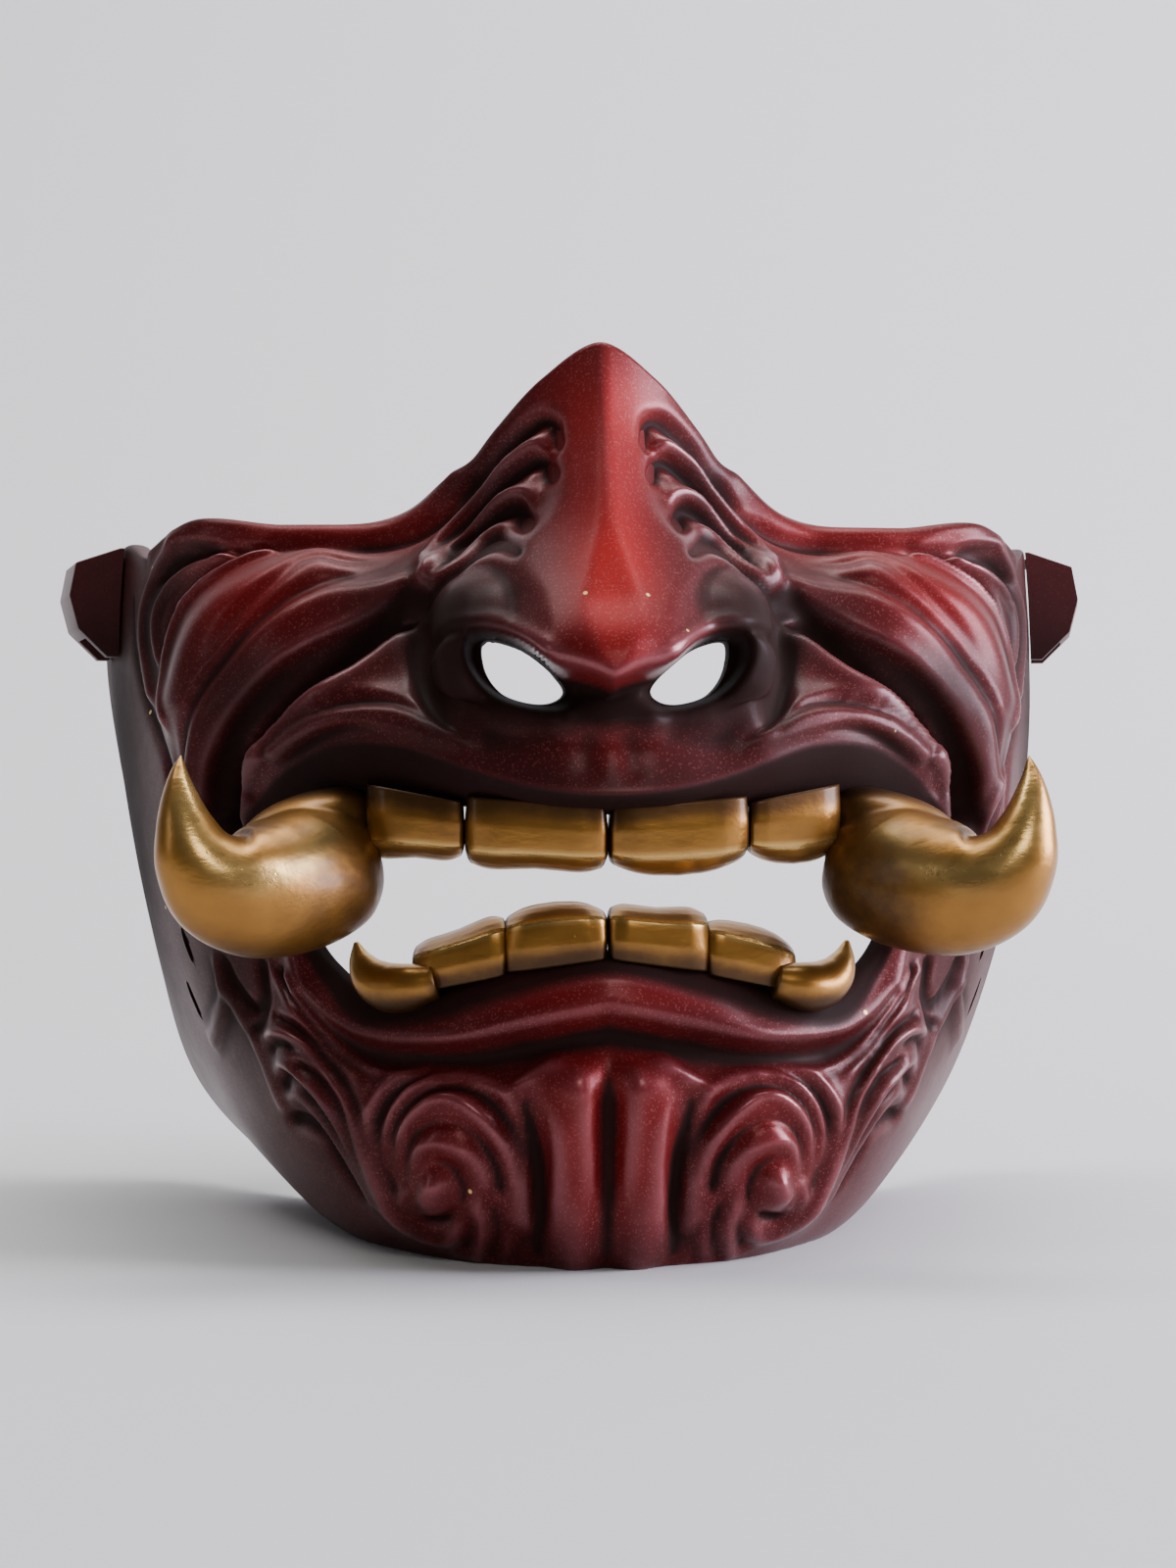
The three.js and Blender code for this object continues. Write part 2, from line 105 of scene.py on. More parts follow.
NOSTRIL_CENTRE = (13.2, 93)
NOSTRIL_OUTLINE = (
    (6.6, 90.4), (10.8, 94.9), (15.2, 97.5), (19.3, 98), (19, 93.4), (16.2, 89.6), (11.6, 88), (8, 88.3),
)
# The hollow round each nostril, drawn from the front, and how deep its floor lies
NOSTRIL_BOWL = (
    (4.4, 89.2), (8, 93.4), (12.6, 97.7), (17.6, 100), (22, 99.6), (23, 96), (21, 91.4), (16.8, 87.6),
    (11.4, 86.2), (6.8, 86.6),
)
NOSTRIL_FLOOR = (-49, 0.45)
NOSTRIL_BOWL_EASE = 0.3
# Vents low in the side plate: centre along Y and Z, half width, half height and lean
VENTS = ((2, 48, 1.3, 3.2, 0.15), (9, 38, 1.2, 3.6, 0.3))


def form(height, left, right, *path, sharp=2.0, start=1.0, end=1.0):
    """A raised roll (height above 0) or a hollow along a path, with its half-width on either side of it"""
    return {"height": height, "left": left, "right": right, "path": path, "sharp": sharp,
            "ends": (start, end)}


BROAD_FORMS = (
    # foot of the septum
    form(2.0, 2.6, 2.6, (0, -49, 84.5), (5.5, -48, 84.4)),
    # valley between the cheek and the mouth
    form(-5.4, 3.4, 4.2, (31, -26, 104), (36, -27, 101), (43, -28, 96), (51, -25, 90), (57, -21, 84),
         (60.5, -18.5, 78), (61, -17, 72), start=0.6),
    # cheek, the roll along its lower edge, and the brow rim
    form(3.8, 7.5, 7.5, (46, -13, 108), (56, -12, 105), (63, -9, 99), (67, -8, 90)),
    form(2.6, 4.2, 4.2, (32, -24, 107), (40, -22, 105), (48, -21, 102), (55, -19, 98), (61, -16, 92),
         (64.5, -14, 84), (65.5, -13, 76)),
    form(1.7, 3.2, 3.2, (24, -13, 127), (31, -12, 121), (40, -8, 118), (52, -5.5, 118), (62, -1.5, 119),
         (69, 3, 119.5), (75, 12, 116)),
    # mound of the upper lip
    form(2.6, 4.6, 4.6, (24, -44, 83), (32, -40, 86), (40, -35, 86.5), (47, -30, 84), (52.5, -25.5, 79)),
    # lower lip and the crease under it
    form(1.8, 3, 3, (0, -51, 43), (14, -48, 40), (28, -43, 36), (38, -36.5, 36), (46, -28, 42),
         (50, -25, 50)),
    form(-3.3, 2.6, 3.0, (0, -50, 36.6), (12, -49, 34.6), (20, -46, 33), (28, -43, 33), (37, -37, 33.6),
         (43, -32, 36.5), (47, -27, 41), end=0.3),
    # chin lobe and the hollow beside it
    form(3.0, 4.4, 4.4, (5.6, -49, 29), (5.8, -48, 22), (5.2, -46, 12), (4.6, -42, 1), end=0.6),
    form(-2.2, 2.0, 2.0, (13, -47, 26), (11.4, -46, 19), (10.4, -45, 11), (10.6, -41, 3), start=0.3,
         end=0.5),
    # swirl block and the band of jaw strands
    form(3.6, 9, 9, (24, -43, 21), (25, -41, 12)),
    form(2.2, 5.5, 5.5, (33, -34, 8), (39, -34, 20), (44, -31, 28), (50, -25, 36)),
)

CARVING = (
    # hooks beside the bridge, from the top one down, drawn from the front
    form(-3.2, 1.2, 1.5, (7.6, 130.4), (8.2, 133.8), (10.2, 134.8), (13, 133.2), (16, 130.6), (18.8, 127.4),
         (21.8, 123.6), (25.4, 118.6), start=0.7, end=0.1),
    form(1.7, 1.0, 1.4, (8.6, 131), (11, 131.2), (13.6, 129.4), (16.2, 126.8), (18.8, 123.8), (21.8, 120),
         (25.2, 116), (28.4, 111.6), sharp=1.5, start=0.3),
    form(-2.8, 1.2, 1.3, (8.8, 125.2), (10.2, 127.8), (12.8, 127.2), (15.8, 124.8), (18.8, 121.8),
         (21.8, 118.4), (25, 114.8), (28, 110.6), start=0.9, end=0.2),
    form(1.8, 0.9, 1.3, (10.4, 119.6), (11.6, 122.6), (14.2, 123), (17.2, 121.4), (20, 119), (23, 116),
         (26, 112.6), (28.6, 108.8), sharp=1.5, start=0.2),
    form(-2.6, 1.0, 1.2, (12.4, 117.6), (13.8, 120), (16.4, 119.6), (19, 117.6), (21.8, 115), (24.6, 112),
         (27.4, 108.4), start=0.9, end=0.2),
    form(1.5, 0.8, 1.1, (14, 115.4), (15.8, 117.4), (18.6, 116.4), (21.4, 114), (24.4, 111), (27.4, 107.2),
         sharp=1.5, start=0.3),
    form(-2.0, 0.9, 1.0, (14.2, 112.6), (16.6, 114.4), (19, 113.4), (21.6, 111.4), (24.4, 108.8),
         (27, 105.8), start=0.8, end=0.2),
    form(0.8, 0.8, 2.0, (14.8, 110.6), (17.4, 111.6), (20, 110.8), (22.8, 109), (25.6, 106.4),
         (27.6, 103.6), sharp=1.6, start=0.3, end=0.4),
    # nose wing: the lid over the nostril, its crease, the roll under it and the furrow outside
    form(0.8, 0.9, 1.8, (3, 90.6), (7.4, 94), (12.4, 98.6), (17.4, 101), (22, 101.2), (26, 99.8), sharp=1.6,
         start=0.3, end=0.4),
    form(-1.4, 0.8, 0.9, (21.4, 99), (24, 99.6), (26.4, 98.4), (28, 95.8), start=0.4, end=0.2),
    form(1.6, 2.1, 3.0, (24.8, 98.6), (25.8, 95.4), (25, 91.6), (22, 88.2), (17.6, 86), (12.4, 85.2),
         (7, 85.6), start=0.3, end=0.2),
    form(-1.9, 1.4, 2.2, (27.4, 107.4), (29, 104), (29.8, 99.6), (29.6, 94.8), (28.2, 90), (25.4, 85.8),
         (20.4, 82.6), start=0.5, end=0.0),
    # philtrum under the septum
    form(-0.35, 2.0, 2.0, (3.2, 83), (3.4, 78)),
    # brow: the lit roll, the valley under it, and its fork towards the ear
    form(-1.5, 1.6, 1.4, (26, -18, 120), (31, -15, 116.6), (37, -12, 115), (44, -10.5, 114.5),
         (52, -8.5, 114.6), (57, -6.5, 115.5), (63, -3, 117.5), (69, 2, 118.5), end=0.2),
    form(-1.2, 1.0, 1.2, (55, -7.5, 114.8), (60, -6, 115), (65, -3, 116.3), (71, 4, 117.4), end=0.2),
    form(0.9, 1.2, 1.2, (56, -7, 116.4), (61, -4, 117), (66, -1, 117.8), (71, 5, 118)),
    # cheek creases
    form(-0.7, 1.4, 1.6, (37, -16, 112), (42, -15, 111.2), (47, -14, 110.4), (52, -15, 107.6),
         (56, -15, 104), (60, -14, 99.5), (62.5, -13, 95), start=0.2, end=0.2),
    form(-1.5, 1.1, 2.6, (41, -18, 108.4), (46, -18, 106.8), (50.5, -18, 104.4), (54.5, -18, 101.2),
         (58.5, -17, 97.4), (62, -15, 93), (65, -13, 88), (66.8, -12, 83), (67.6, -11, 77), start=0.3,
         end=0.4),
    # sharp fold between the valley and the mouth
    form(2.4, 1.2, 2.6, (31, -30, 101.5), (34, -31, 98.5), (40, -32, 93), (46, -31, 88.6), (50.5, -28, 85),
         (54, -25, 80.6), (56.6, -23, 76), (58, -22, 70.5), sharp=1.3, start=0.6),
    # sharp upper edge of the valley
    form(1.3, 2.6, 0.9, (33, -24, 106), (39, -24, 102.6), (46, -24, 99.4), (52.5, -22.5, 95.4),
         (58, -19, 90.2), (62, -16, 84.5), (64.4, -14.5, 78.5), (64.6, -14, 72), sharp=1.5, start=0.4),
    # two creases over the mound of the upper lip
    form(-1.3, 1.1, 1.5, (26, -43.5, 83.6), (30, -40, 86), (35, -37, 87.6), (40, -35, 87.6),
         (45, -31.5, 85.6), (49, -28.5, 83), (53, -25.5, 79), (55.6, -23.5, 74.4), start=0.2),
    form(-0.9, 0.8, 1.1, (33, -39, 84.6), (38, -37, 85), (43, -34, 84), (47.5, -31, 81.4),
         (51.5, -27.5, 78), (54.3, -25, 74.6), start=0.2),
    # ear ring: outline of the cheek, the furrow, the inner ring and the dark eye between them
    form(1.5, 1.2, 1.0, (54, -9.5, 113.6), (58.5, -8, 112.4), (63, -6.4, 110), (67, -4.6, 107.4),
         (69.8, -3, 104.6), (70.8, -2.4, 101), (71.2, -2, 97), (70.6, -3.6, 92), (69.4, -6.4, 87),
         sharp=1.4),
    form(-2.6, 1.1, 1.1, (58, -7.4, 113.6), (62.5, -5.8, 112), (67, -3.6, 109.8), (70.4, -1.4, 106.6),
         (72, -0.4, 102.6), (71.8, -0.4, 99), start=0.4, end=0.3),
    form(1.4, 1.0, 1.0, (62, -5, 114.4), (66, -3.4, 113.2), (70, -0.4, 111.6), (73.4, 3, 108.8),
         (75, 5, 105), (74.8, 4.4, 101), (73.2, 2.2, 97), sharp=1.4),
    form(-1.6, 1.3, 1.3, (65, -3.4, 115), (70, 1, 114.6), (74, 6, 112)),
    form(1.2, 1.2, 1.2, (72, 5, 116.4), (76, 9, 112), (78.4, 12, 106), (78.2, 11, 99), (76, 6, 91)),
    # edge of the plain rear plate
    form(-0.9, 1.4, 1.4, (81, 24, 108), (80.6, 20, 100), (78, 12, 92), (75, 4, 86), (72, -3, 80),
         (70.5, -6, 72)),
)

SWIRL = (
    form(1.2, 1.0, 0.9, (27, -43, 32), (31, -41.4, 31), (34, -39, 28), (36.6, -37, 23.4), (36, -36, 19),
         (34.6, -34.6, 14.6), (32, -34, 10), (30, -34, 6), sharp=1.3, start=0.2),
    form(-1.5, 0.9, 0.9, (24, -45, 31.4), (28, -43, 30.8), (31.6, -41, 28.6), (34.2, -39, 25),
         (35, -37, 20.6), (33.6, -36, 15.6), (31, -35.4, 10), (29.4, -35, 5), start=0.2),
    form(1.3, 1.0, 0.9, (14, -47.6, 25.4), (16, -47.4, 28), (19, -46.6, 29.8), (23, -45, 30.4),
         (27, -43, 29.6), (30.8, -41.4, 27), (33.2, -39.6, 23.4), (33.6, -38, 19.6), (32.6, -36.6, 15),
         (30.6, -35.4, 9.6), (29, -35, 5), sharp=1.3, start=0.3),
    form(-1.5, 1.0, 0.9, (13.4, -46, 15), (14, -46.6, 19.4), (16, -46.8, 24), (19.4, -46.4, 27.4),
         (23.4, -44.8, 28.6), (27.2, -43, 27.8), (30.4, -41.4, 25.2), (32.2, -39.4, 21.6),
         (32, -37.6, 17.6), (30.8, -36, 12.6), start=0.3),
    form(1.3, 0.9, 0.9, (14.6, -44.6, 8), (14.4, -45.4, 12), (15.2, -46, 17), (16.8, -46.4, 21),
         (19.8, -45.8, 24.6), (23.4, -44.6, 26.6), (26.8, -43.2, 26), (29.8, -41.6, 23.8),
         (31.2, -39.8, 20.6), (31, -38, 16.6), (29.8, -36.4, 11.6), sharp=1.3, start=0.4),
    form(-1.3, 0.8, 0.8, (16.6, -44.8, 13), (17.4, -45.4, 17), (19.6, -45.2, 20.8), (22.6, -44.4, 23),
         (25.8, -43.2, 23.2), (28.6, -41.8, 21.4), (29.8, -40, 18.4), (29.4, -38, 14.4)),
    form(1.0, 0.8, 0.8, (18, -44, 9), (18.6, -44.4, 14), (20.4, -44, 18), (22.8, -43.4, 20.4),
         (25.4, -42.6, 20.8), (27.8, -41.4, 19.4), (28.8, -39.8, 16.6), (28.4, -38, 12.8), sharp=1.3,
         start=0.3),
    form(-1.8, 0.8, 0.8, (22.6, -41.6, 8.6), (22, -42.2, 12), (22.6, -42.6, 15.4), (24.6, -42.4, 17.8),
         (26.6, -41.6, 17.6), start=0.4, end=0.2),
    form(-2.2, 1.0, 1.0, (23, -41, 10.4), (24.6, -39.4, 8.2), (27, -37.6, 8), (28.8, -37, 9.6), start=0.3,
         end=0.3),
    form(1.6, 1.7, 1.7, (25.4, -40.8, 14), (26.2, -39.8, 12)),
    # tails that run down to the chin's edge
    form(-1.3, 0.8, 0.8, (20, -43.6, 14), (18, -43, 10), (17, -42, 6), (18, -39, 1), start=0.1),
    form(0.9, 0.7, 0.7, (21.4, -43, 14.4), (19.6, -42.6, 10), (19, -41, 6), (20, -38, 1), sharp=1.4,
         start=0.2),
    form(-1.2, 0.8, 0.8, (22, -42, 10), (21, -41, 6.6), (22, -38.6, 2.4), start=0.1),
    form(0.9, 0.8, 0.8, (22.8, -41, 8), (23.4, -39, 5), (25.6, -36.6, 3.4), (28, -35, 4.4), sharp=1.4,
         start=0.2),
    form(-1.0, 0.9, 0.9, (14.6, -44, 8), (13.4, -43, 5), (13.8, -40, 1.4), start=0.2),
)

JAW_STRANDS = (
    form(1.1, 0.9, 0.9, (29, -42.6, 31.6), (33, -40.4, 31), (37, -37.6, 31), (41, -34.4, 33),
         (44.6, -30.6, 36.4), (47.8, -27, 40), (50.4, -24, 44.6), sharp=1.4, start=0.2),
    form(-1.3, 0.8, 0.8, (35, -39.2, 29.4), (39, -36, 31), (42.6, -33, 33), (46, -29.4, 36.6),
         (49.4, -25.6, 41), (52, -22.6, 45), start=0.2),
    form(1.0, 0.8, 0.8, (37, -37.4, 27), (40, -35.4, 30.4), (43.6, -32.4, 33.2), (47, -28.8, 37),
         (50.6, -24.4, 41.6), (53, -21.6, 45), sharp=1.4, start=0.2),
    form(-1.4, 0.7, 0.7, (31, -35, 8), (34.6, -34.8, 12.6), (36.8, -35.6, 18.6), (38.6, -35.8, 24),
         (41.4, -34.4, 29), (44.4, -31.6, 32.4), (47.6, -28, 35.6), (51, -24, 37.6), start=0.4),
    form(1.0, 0.7, 0.7, (32, -34.4, 8.6), (35.8, -34.4, 13.6), (38, -35, 19.6), (39.8, -35, 25),
         (42.8, -33, 29.6), (45.4, -30.2, 32.6), (48.4, -27, 34.8), (51.4, -23.6, 35.4),
         (53.6, -21.4, 34.4), sharp=1.4),
    form(-1.6, 0.6, 0.9, (47, -28.6, 32.6), (49.6, -25.8, 34), (52, -23, 34), (53.4, -21.4, 32.6),
         start=0.2),
    form(-1.4, 0.7, 0.7, (33, -33.8, 8), (37, -33.2, 14), (39.4, -34, 20), (41.4, -33.8, 25),
         (44, -31.4, 28.8), (47, -28.6, 31), start=0.4),
    form(1.0, 0.7, 0.8, (34, -33, 8.6), (38.2, -32.4, 14.6), (40.8, -33, 20.6), (42.8, -32.6, 25),
         (45.4, -30, 28.6), (48.4, -27.2, 30.6), (51.2, -24, 30.4), (52.6, -21.8, 28.4), sharp=1.4),
    form(-1.6, 0.6, 0.9, (46, -29.4, 28), (49, -26.4, 29), (51, -24, 28.4), (52, -22.4, 26.6), start=0.2),
    form(-1.3, 0.7, 0.7, (35, -32.4, 8.4), (39.4, -31.4, 15), (42, -31.8, 20.6), (44.2, -30.6, 24.4),
         (47, -28, 26.6), start=0.4),
    form(1.0, 0.7, 0.8, (36, -31.4, 9), (40.6, -30, 15.6), (43.2, -30.2, 20.4), (45.8, -28.6, 23.8),
         (48.8, -25.6, 25.2), (51, -22.6, 24), sharp=1.4),
    form(-1.8, 1.3, 1.3, (38, -28.4, 9.6), (42, -27.4, 15.6), (45, -27, 19), (48.4, -23.4, 20.4),
         (51, -19, 20.4), start=0.5),
    # ridge in front of the plain flange, and the hooks behind the tusk
    form(1.2, 0.9, 1.4, (60.6, -10, 42), (58.6, -12.6, 37.6), (56.4, -16, 33.6), (55, -17.6, 29.6),
         (53.6, -18, 25.6), (51.6, -18.2, 21.4), sharp=1.4),
    form(-1.4, 1.0, 0.9, (54.6, -18.4, 46), (54.8, -19.4, 41), (56.8, -17, 38.6), (59.4, -13, 42),
         (61, -10.6, 46)),
    form(-1.2, 0.8, 0.8, (53.4, -21, 42), (54.6, -19.6, 37.6), (56.6, -16.6, 35), start=0.3),
    form(1.2, 1.2, 1.2, (62, -9, 46), (62, -9, 40), (64, -2, 35), (66.4, 5, 31), sharp=1.6),
    # strands on the cheek side above the tusk
    form(0.9, 0.8, 0.8, (66, -12.6, 76), (65, -13, 70), (63.6, -13.6, 64)),
    form(0.9, 0.8, 0.8, (68, -10.6, 76), (67, -10.8, 70), (65.6, -11.4, 63)),
    form(0.9, 0.8, 0.8, (70, -8, 78), (69.2, -8.4, 71), (67.8, -8.8, 63)),
)

CHIN = (
    form(-0.8, 1.6, 1.6, (0, -50, 33), (0, -49, 25), (0, -48, 16), (0, -46, 8), start=0.6, end=0.3),
    form(1.0, 1.4, 1.8, (4.6, -50, 31), (4.8, -49, 25), (4.2, -48, 18), (3.4, -47, 11), sharp=1.6,
         start=0.3, end=0.2),
    form(1.3, 1.2, 1.5, (6, -50, 33.4), (9, -49.4, 33.2), (12, -48.6, 30.8), (15.4, -47.6, 28.6), sharp=1.4,
         start=0.3, end=0.5),
    form(0.9, 0.8, 1.6, (11, -48.6, 28.6), (8.6, -49.4, 25.8), (7.4, -49.4, 21.4), (7.4, -48.4, 15.4),
         (8.4, -46.6, 9.4), (10, -45, 5), sharp=1.5, start=0.3, end=0.3),
    form(1.0, 1.0, 0.9, (15.6, -47.4, 27.6), (13.4, -47.2, 23.4), (12.6, -46.6, 18.6), (12.4, -46, 13),
         (12.8, -44, 6), sharp=1.4, start=0.3),
)

FINE_FORMS = CARVING + SWIRL + JAW_STRANDS + CHIN
WALL = 3.3
DEEPEST_CUT = 2.7
CARVING_DEPTH = 1.2
# How far round a point its surroundings reach, in passes of evening, and the black wash with painted shade
# that its hollows take
CLOSE_PASSES, WIDE_PASSES = 10, 110
CLOSE_WASH_AND_SHADE, WIDE_WASH_AND_SHADE = 1.5, 0.3
# How strongly crests are rubbed lighter, partly as a painted highlight, and how far one stands out before it
# is
CREST_RUB_AND_HIGHLIGHT, CREST_START = 2.4, 0.35
# Wash and wear where neither comes from the relief: painted shade darkens the mouth's edge, a painted
# highlight goes with the wear along the rim's edge, and the lining is darker
MOUTH_EDGE_PAINT, RIM_EDGE_PAINT, LINING_PAINT = (1.0, 0.0), (0.1, 0.35), (0.5, 0.0)


def along(value, stops):
    """Value read off a short table of stops, smoothly from one to the next"""
    at, amount = np.array(stops, float).T
    slope = np.gradient(amount, at)
    k = np.clip(np.searchsorted(at, value) - 1, 0, len(at) - 2)
    gap = at[k + 1] - at[k]
    f = np.clip((value - at[k]) / gap, 0, 1)
    rise = f * f * (3 - 2 * f)
    bend = gap * f * (1 - f) * (slope[k] * (1 - f) - slope[k + 1] * f)
    return amount[k] * (1 - rise) + amount[k + 1] * rise + bend


def soft_ramp(value, width):
    """Zero below 0 and the value itself above, with a rounded corner"""
    return width * np.logaddexp(0, value / width)


def catmull(a, b, c, d, f):
    return b + 0.5 * f * (c - a + f * (2 * a - 5 * b + 4 * c - d + f * (3 * (b - c) + d - a)))


def smooth_open(points, spacing):
    """Points along a smooth open curve through the given ones"""
    p = np.array(points, float)
    p = np.vstack([2 * p[0] - p[1], p, 2 * p[-1] - p[-2]])
    out = []
    for i in range(1, len(p) - 2):
        count = max(2, int(np.linalg.norm(p[i + 1] - p[i]) / spacing))
        for k in range(count):
            out.append(catmull(p[i - 1], p[i], p[i + 1], p[i + 2], k / count))
    out.append(p[-2])
    return np.array(out)


def smooth_closed(points, count):
    """Points round a smooth closed curve through the given ones"""
    p = np.array(points, float)
    u = np.linspace(0, len(p), count, endpoint=False)
    i = u.astype(int)
    f = (u - i)[:, None]
    n = len(p)
    return catmull(p[(i - 1) % n], p[i % n], p[(i + 1) % n], p[(i + 2) % n], f)


def rail_points(rail, u):
    """Points on a closed mirrored rail, at positions counted in rail points from the top centre"""
    half = np.array(rail, float)
    mirror = half[-2:0:-1] * (-1, 1, 1)
    loop = np.vstack([half, mirror])
    n = len(loop)
    i = np.floor(u).astype(int)
    f = (u - i)[:, None]
    return catmull(loop[(i - 1) % n], loop[i % n], loop[(i + 1) % n], loop[(i + 2) % n], f)


def across_rails(rails, rows):
    """Rows of points that run smoothly through the rails, with so many rows between each two"""
    ends = [2 * rails[0] - rails[1], *rails, 2 * rails[-1] - rails[-2]]
    gaps = [np.sqrt(np.linalg.norm(b - a, axis=1) + 1e-9)[:, None] for a, b in zip(ends, ends[1:])]
    out = []
    for k, count in enumerate(rows):
        p0, p1, p2, p3 = ends[k:k + 4]
        t1 = gaps[k]
        t2 = t1 + gaps[k + 1]
        t3 = t2 + gaps[k + 2]
        for step in range(count + (k == len(rows) - 1)):
            t = t1 + (t2 - t1) * step / count
            a1 = (t1 - t) / t1 * p0 + t / t1 * p1
            a2 = (t2 - t) / (t2 - t1) * p1 + (t - t1) / (t2 - t1) * p2
            a3 = (t3 - t) / (t3 - t2) * p2 + (t - t2) / (t3 - t2) * p3
            b1 = (t2 - t) / t2 * a1 + t / t2 * a2
            b2 = (t3 - t) / (t3 - t1) * a2 + (t - t1) / (t3 - t1) * a3
            out.append((t2 - t) / (t2 - t1) * b1 + (t - t1) / (t2 - t1) * b2)
    return np.stack(out, axis=1)


def column_positions(thin):
    """Where the +X half's columns stand, in rail points; thin keeps one column in so many"""
    stops = [0.0]
    for start, count in enumerate(COLUMNS_BETWEEN):
        kept = max(2, count // thin)
        stops += [start + (k + 1) / kept for k in range(kept)]
    return np.array(stops)


def mirrored(half):
    """A whole ring of columns from its +X half"""
    flip = np.array((-1, 1, 1)) if half.shape[-1] == 3 else 1
    return np.concatenate([half, half[-2:0:-1] * flip])


def ring_normals(grid):
    """Outward normals of a ring of columns"""
    around = np.roll(grid, -1, axis=0) - np.roll(grid, 1, axis=0)
    across = np.gradient(grid, axis=1)
    normal = np.cross(around, across)
    return normal / np.maximum(np.linalg.norm(normal, axis=-1, keepdims=True), 1e-9)


def plain_face(thin=1):
    """The face before anything is carved: gum, lip, face, side and rim, for the +X half"""
    u = column_positions(thin)
    rails = (MOUTH_RAIL, LIP_RAIL, FACE_RAIL, SIDE_RAIL, RIM_RAIL)
    mouth, lip, face, side, rim = (rail_points(rail, u) for rail in rails)
    steps = np.linspace(0, 1, GUM_ROWS // thin + 1)[:-1]
    shares = np.stack([steps, steps, steps ** 3], axis=1)
    gum = mouth[:, None] + (lip - mouth)[:, None] * shares[None]
    rows = [max(4, count // thin) for count in ROWS_BETWEEN_RAILS]
    return np.concatenate([gum, across_rails([lip, face, side, rim], rows)], axis=1)


def pulled_forward(points, depth, rounding):
    """Brings points that lie behind a depth forward to it, with a rounded join"""
    out = points.copy()
    out[..., 1] -= soft_ramp(points[..., 1] - depth, rounding)
    return out


def with_nose(points, inset=0.0):
    """Brings the face forward to the nose: a faceted wedge, two domed wings and hollows round the nostrils"""
    x = np.abs(points[..., 0])
    z = points[..., 2]
    ridge = along(z - inset, NOSE_RIDGE) + 1.25 * inset
    planes = along(z, NOSE_PLANES) * soft_ramp(x - along(z, NOSE_FACET), 0.4 + 0.5 * inset)
    step = along(z, NOSE_STEP) * soft_ramp(x - along(z, NOSE_STEP_OUT), 0.5)
    lower_edge = NOSE_UNDER["height"] + NOSE_UNDER["rise"] * np.minimum(x, NOSE_UNDER["out"]) + inset
    under = NOSE_UNDER["slope"] * soft_ramp(lower_edge - z, 0.35)
    beside = 2 * soft_ramp(x - NOSE_HALF_WIDTH, 2)
    out = pulled_forward(points, ridge + planes + step + under + beside, 0.8)
    centre = NOSE_WING["centre"]
    room = 1 - ((x - centre[0]) / (NOSE_WING["wide"] - inset)) ** 2
    room -= ((z - centre[2]) / (NOSE_WING["high"] - inset)) ** 2
    dome = centre[1] + inset - NOSE_WING["deep"] * np.sqrt(np.maximum(room, 0)) + 30 * np.maximum(-room, 0)
    out = pulled_forward(out, dome, 1.5)
    flat = np.stack([x, z], axis=-1).reshape(-1, 2)
    near = (np.abs(flat - (14, 93)) < (12, 10)).all(axis=1)
    share = np.zeros(len(flat))
    share[near] = -hole_distance(flat[near], NOSTRIL_BOWL, np.array(NOSTRIL_CENTRE)) / NOSTRIL_BOWL_EASE
    share = np.clip(share, 0, 1).reshape(x.shape)
    share = share * share * (3 - 2 * share)
    floor = NOSTRIL_FLOOR[0] + NOSTRIL_FLOOR[1] * x + 1.1 * inset
    out[..., 1] += share * np.maximum(floor - out[..., 1], 0)
    return out


def carved_height(points, normals, forms):
    """Height that the forms add at each point, measured over the surface"""
    height = np.zeros(len(points))
    for item in forms:
        line = smooth_open(item["path"], 0.7)
        from_front = line.shape[1] == 2
        if from_front:
            line = np.insert(line, 1, 0, axis=1)
        reach = 2.6 * max(item["left"], item["right"]) + 4
        room = np.array((reach, 1e3 if from_front else reach, reach))
        near = np.all((points > line.min(0) - room) & (points < line.max(0) + room), axis=1)
        index = np.flatnonzero(near & (points[:, 1] < -8 if from_front else True))
        if not len(index):
            continue
        p = points[index] * ((1, 0, 1) if from_front else 1)
        n = np.array((0.0, -1.0, 0.0)) * np.ones((len(p), 1)) if from_front else normals[index]
        closest = np.argmin(((line[:, None] - p[None, ::2]) ** 2).sum(-1), axis=1) * 2
        line = line - ((line - p[closest]) * n[closest]).sum(-1, keepdims=True) * n[closest]
        heading = np.gradient(line, axis=0)
        squared = ((p[:, None] - line[None]) ** 2).sum(-1)
        nearest = np.argmin(squared, axis=1)
        offset = p - line[nearest]
        offset -= (offset * n).sum(-1, keepdims=True) * n
        on_left = (offset * np.cross(n, heading[nearest])).sum(-1) > 0
        width = np.where(on_left, item["left"], item["right"])
        start, end = item["ends"]
        fade = np.interp(nearest / (len(line) - 1), (0, 0.3, 0.7, 1), (start, 1, 1, end))
        away = np.linalg.norm(offset, axis=1) / width / np.sqrt(fade + 1e-3)
        height[index] += item["height"] * fade * np.exp(-away ** item["sharp"])
    return height


def hole_distance(points, outline, centre):
    """Below 0 inside the outline and above 0 outside it, as a share of the outline's radius"""
    ring = smooth_closed(outline, 160) - centre
    angle = np.arctan2(ring[:, 1], ring[:, 0])
    order = np.argsort(angle)
    radius = np.linalg.norm(ring, axis=1)[order]
    offset = points - centre
    here = np.arctan2(offset[:, 1], offset[:, 0])
    edge = np.interp(here, angle[order], radius, period=2 * math.pi)
    return np.linalg.norm(offset, axis=1) / edge - 1


def oval_outline(centre, wide, high, lean):
    """Eight points round a leaning oval"""
    turn = np.arange(8) * math.pi / 4
    u, v = wide * np.cos(turn), high * np.sin(turn)
    return np.stack([centre[0] + u * math.cos(lean) + v * math.sin(lean),
                     centre[1] - u * math.sin(lean) + v * math.cos(lean)], axis=1)


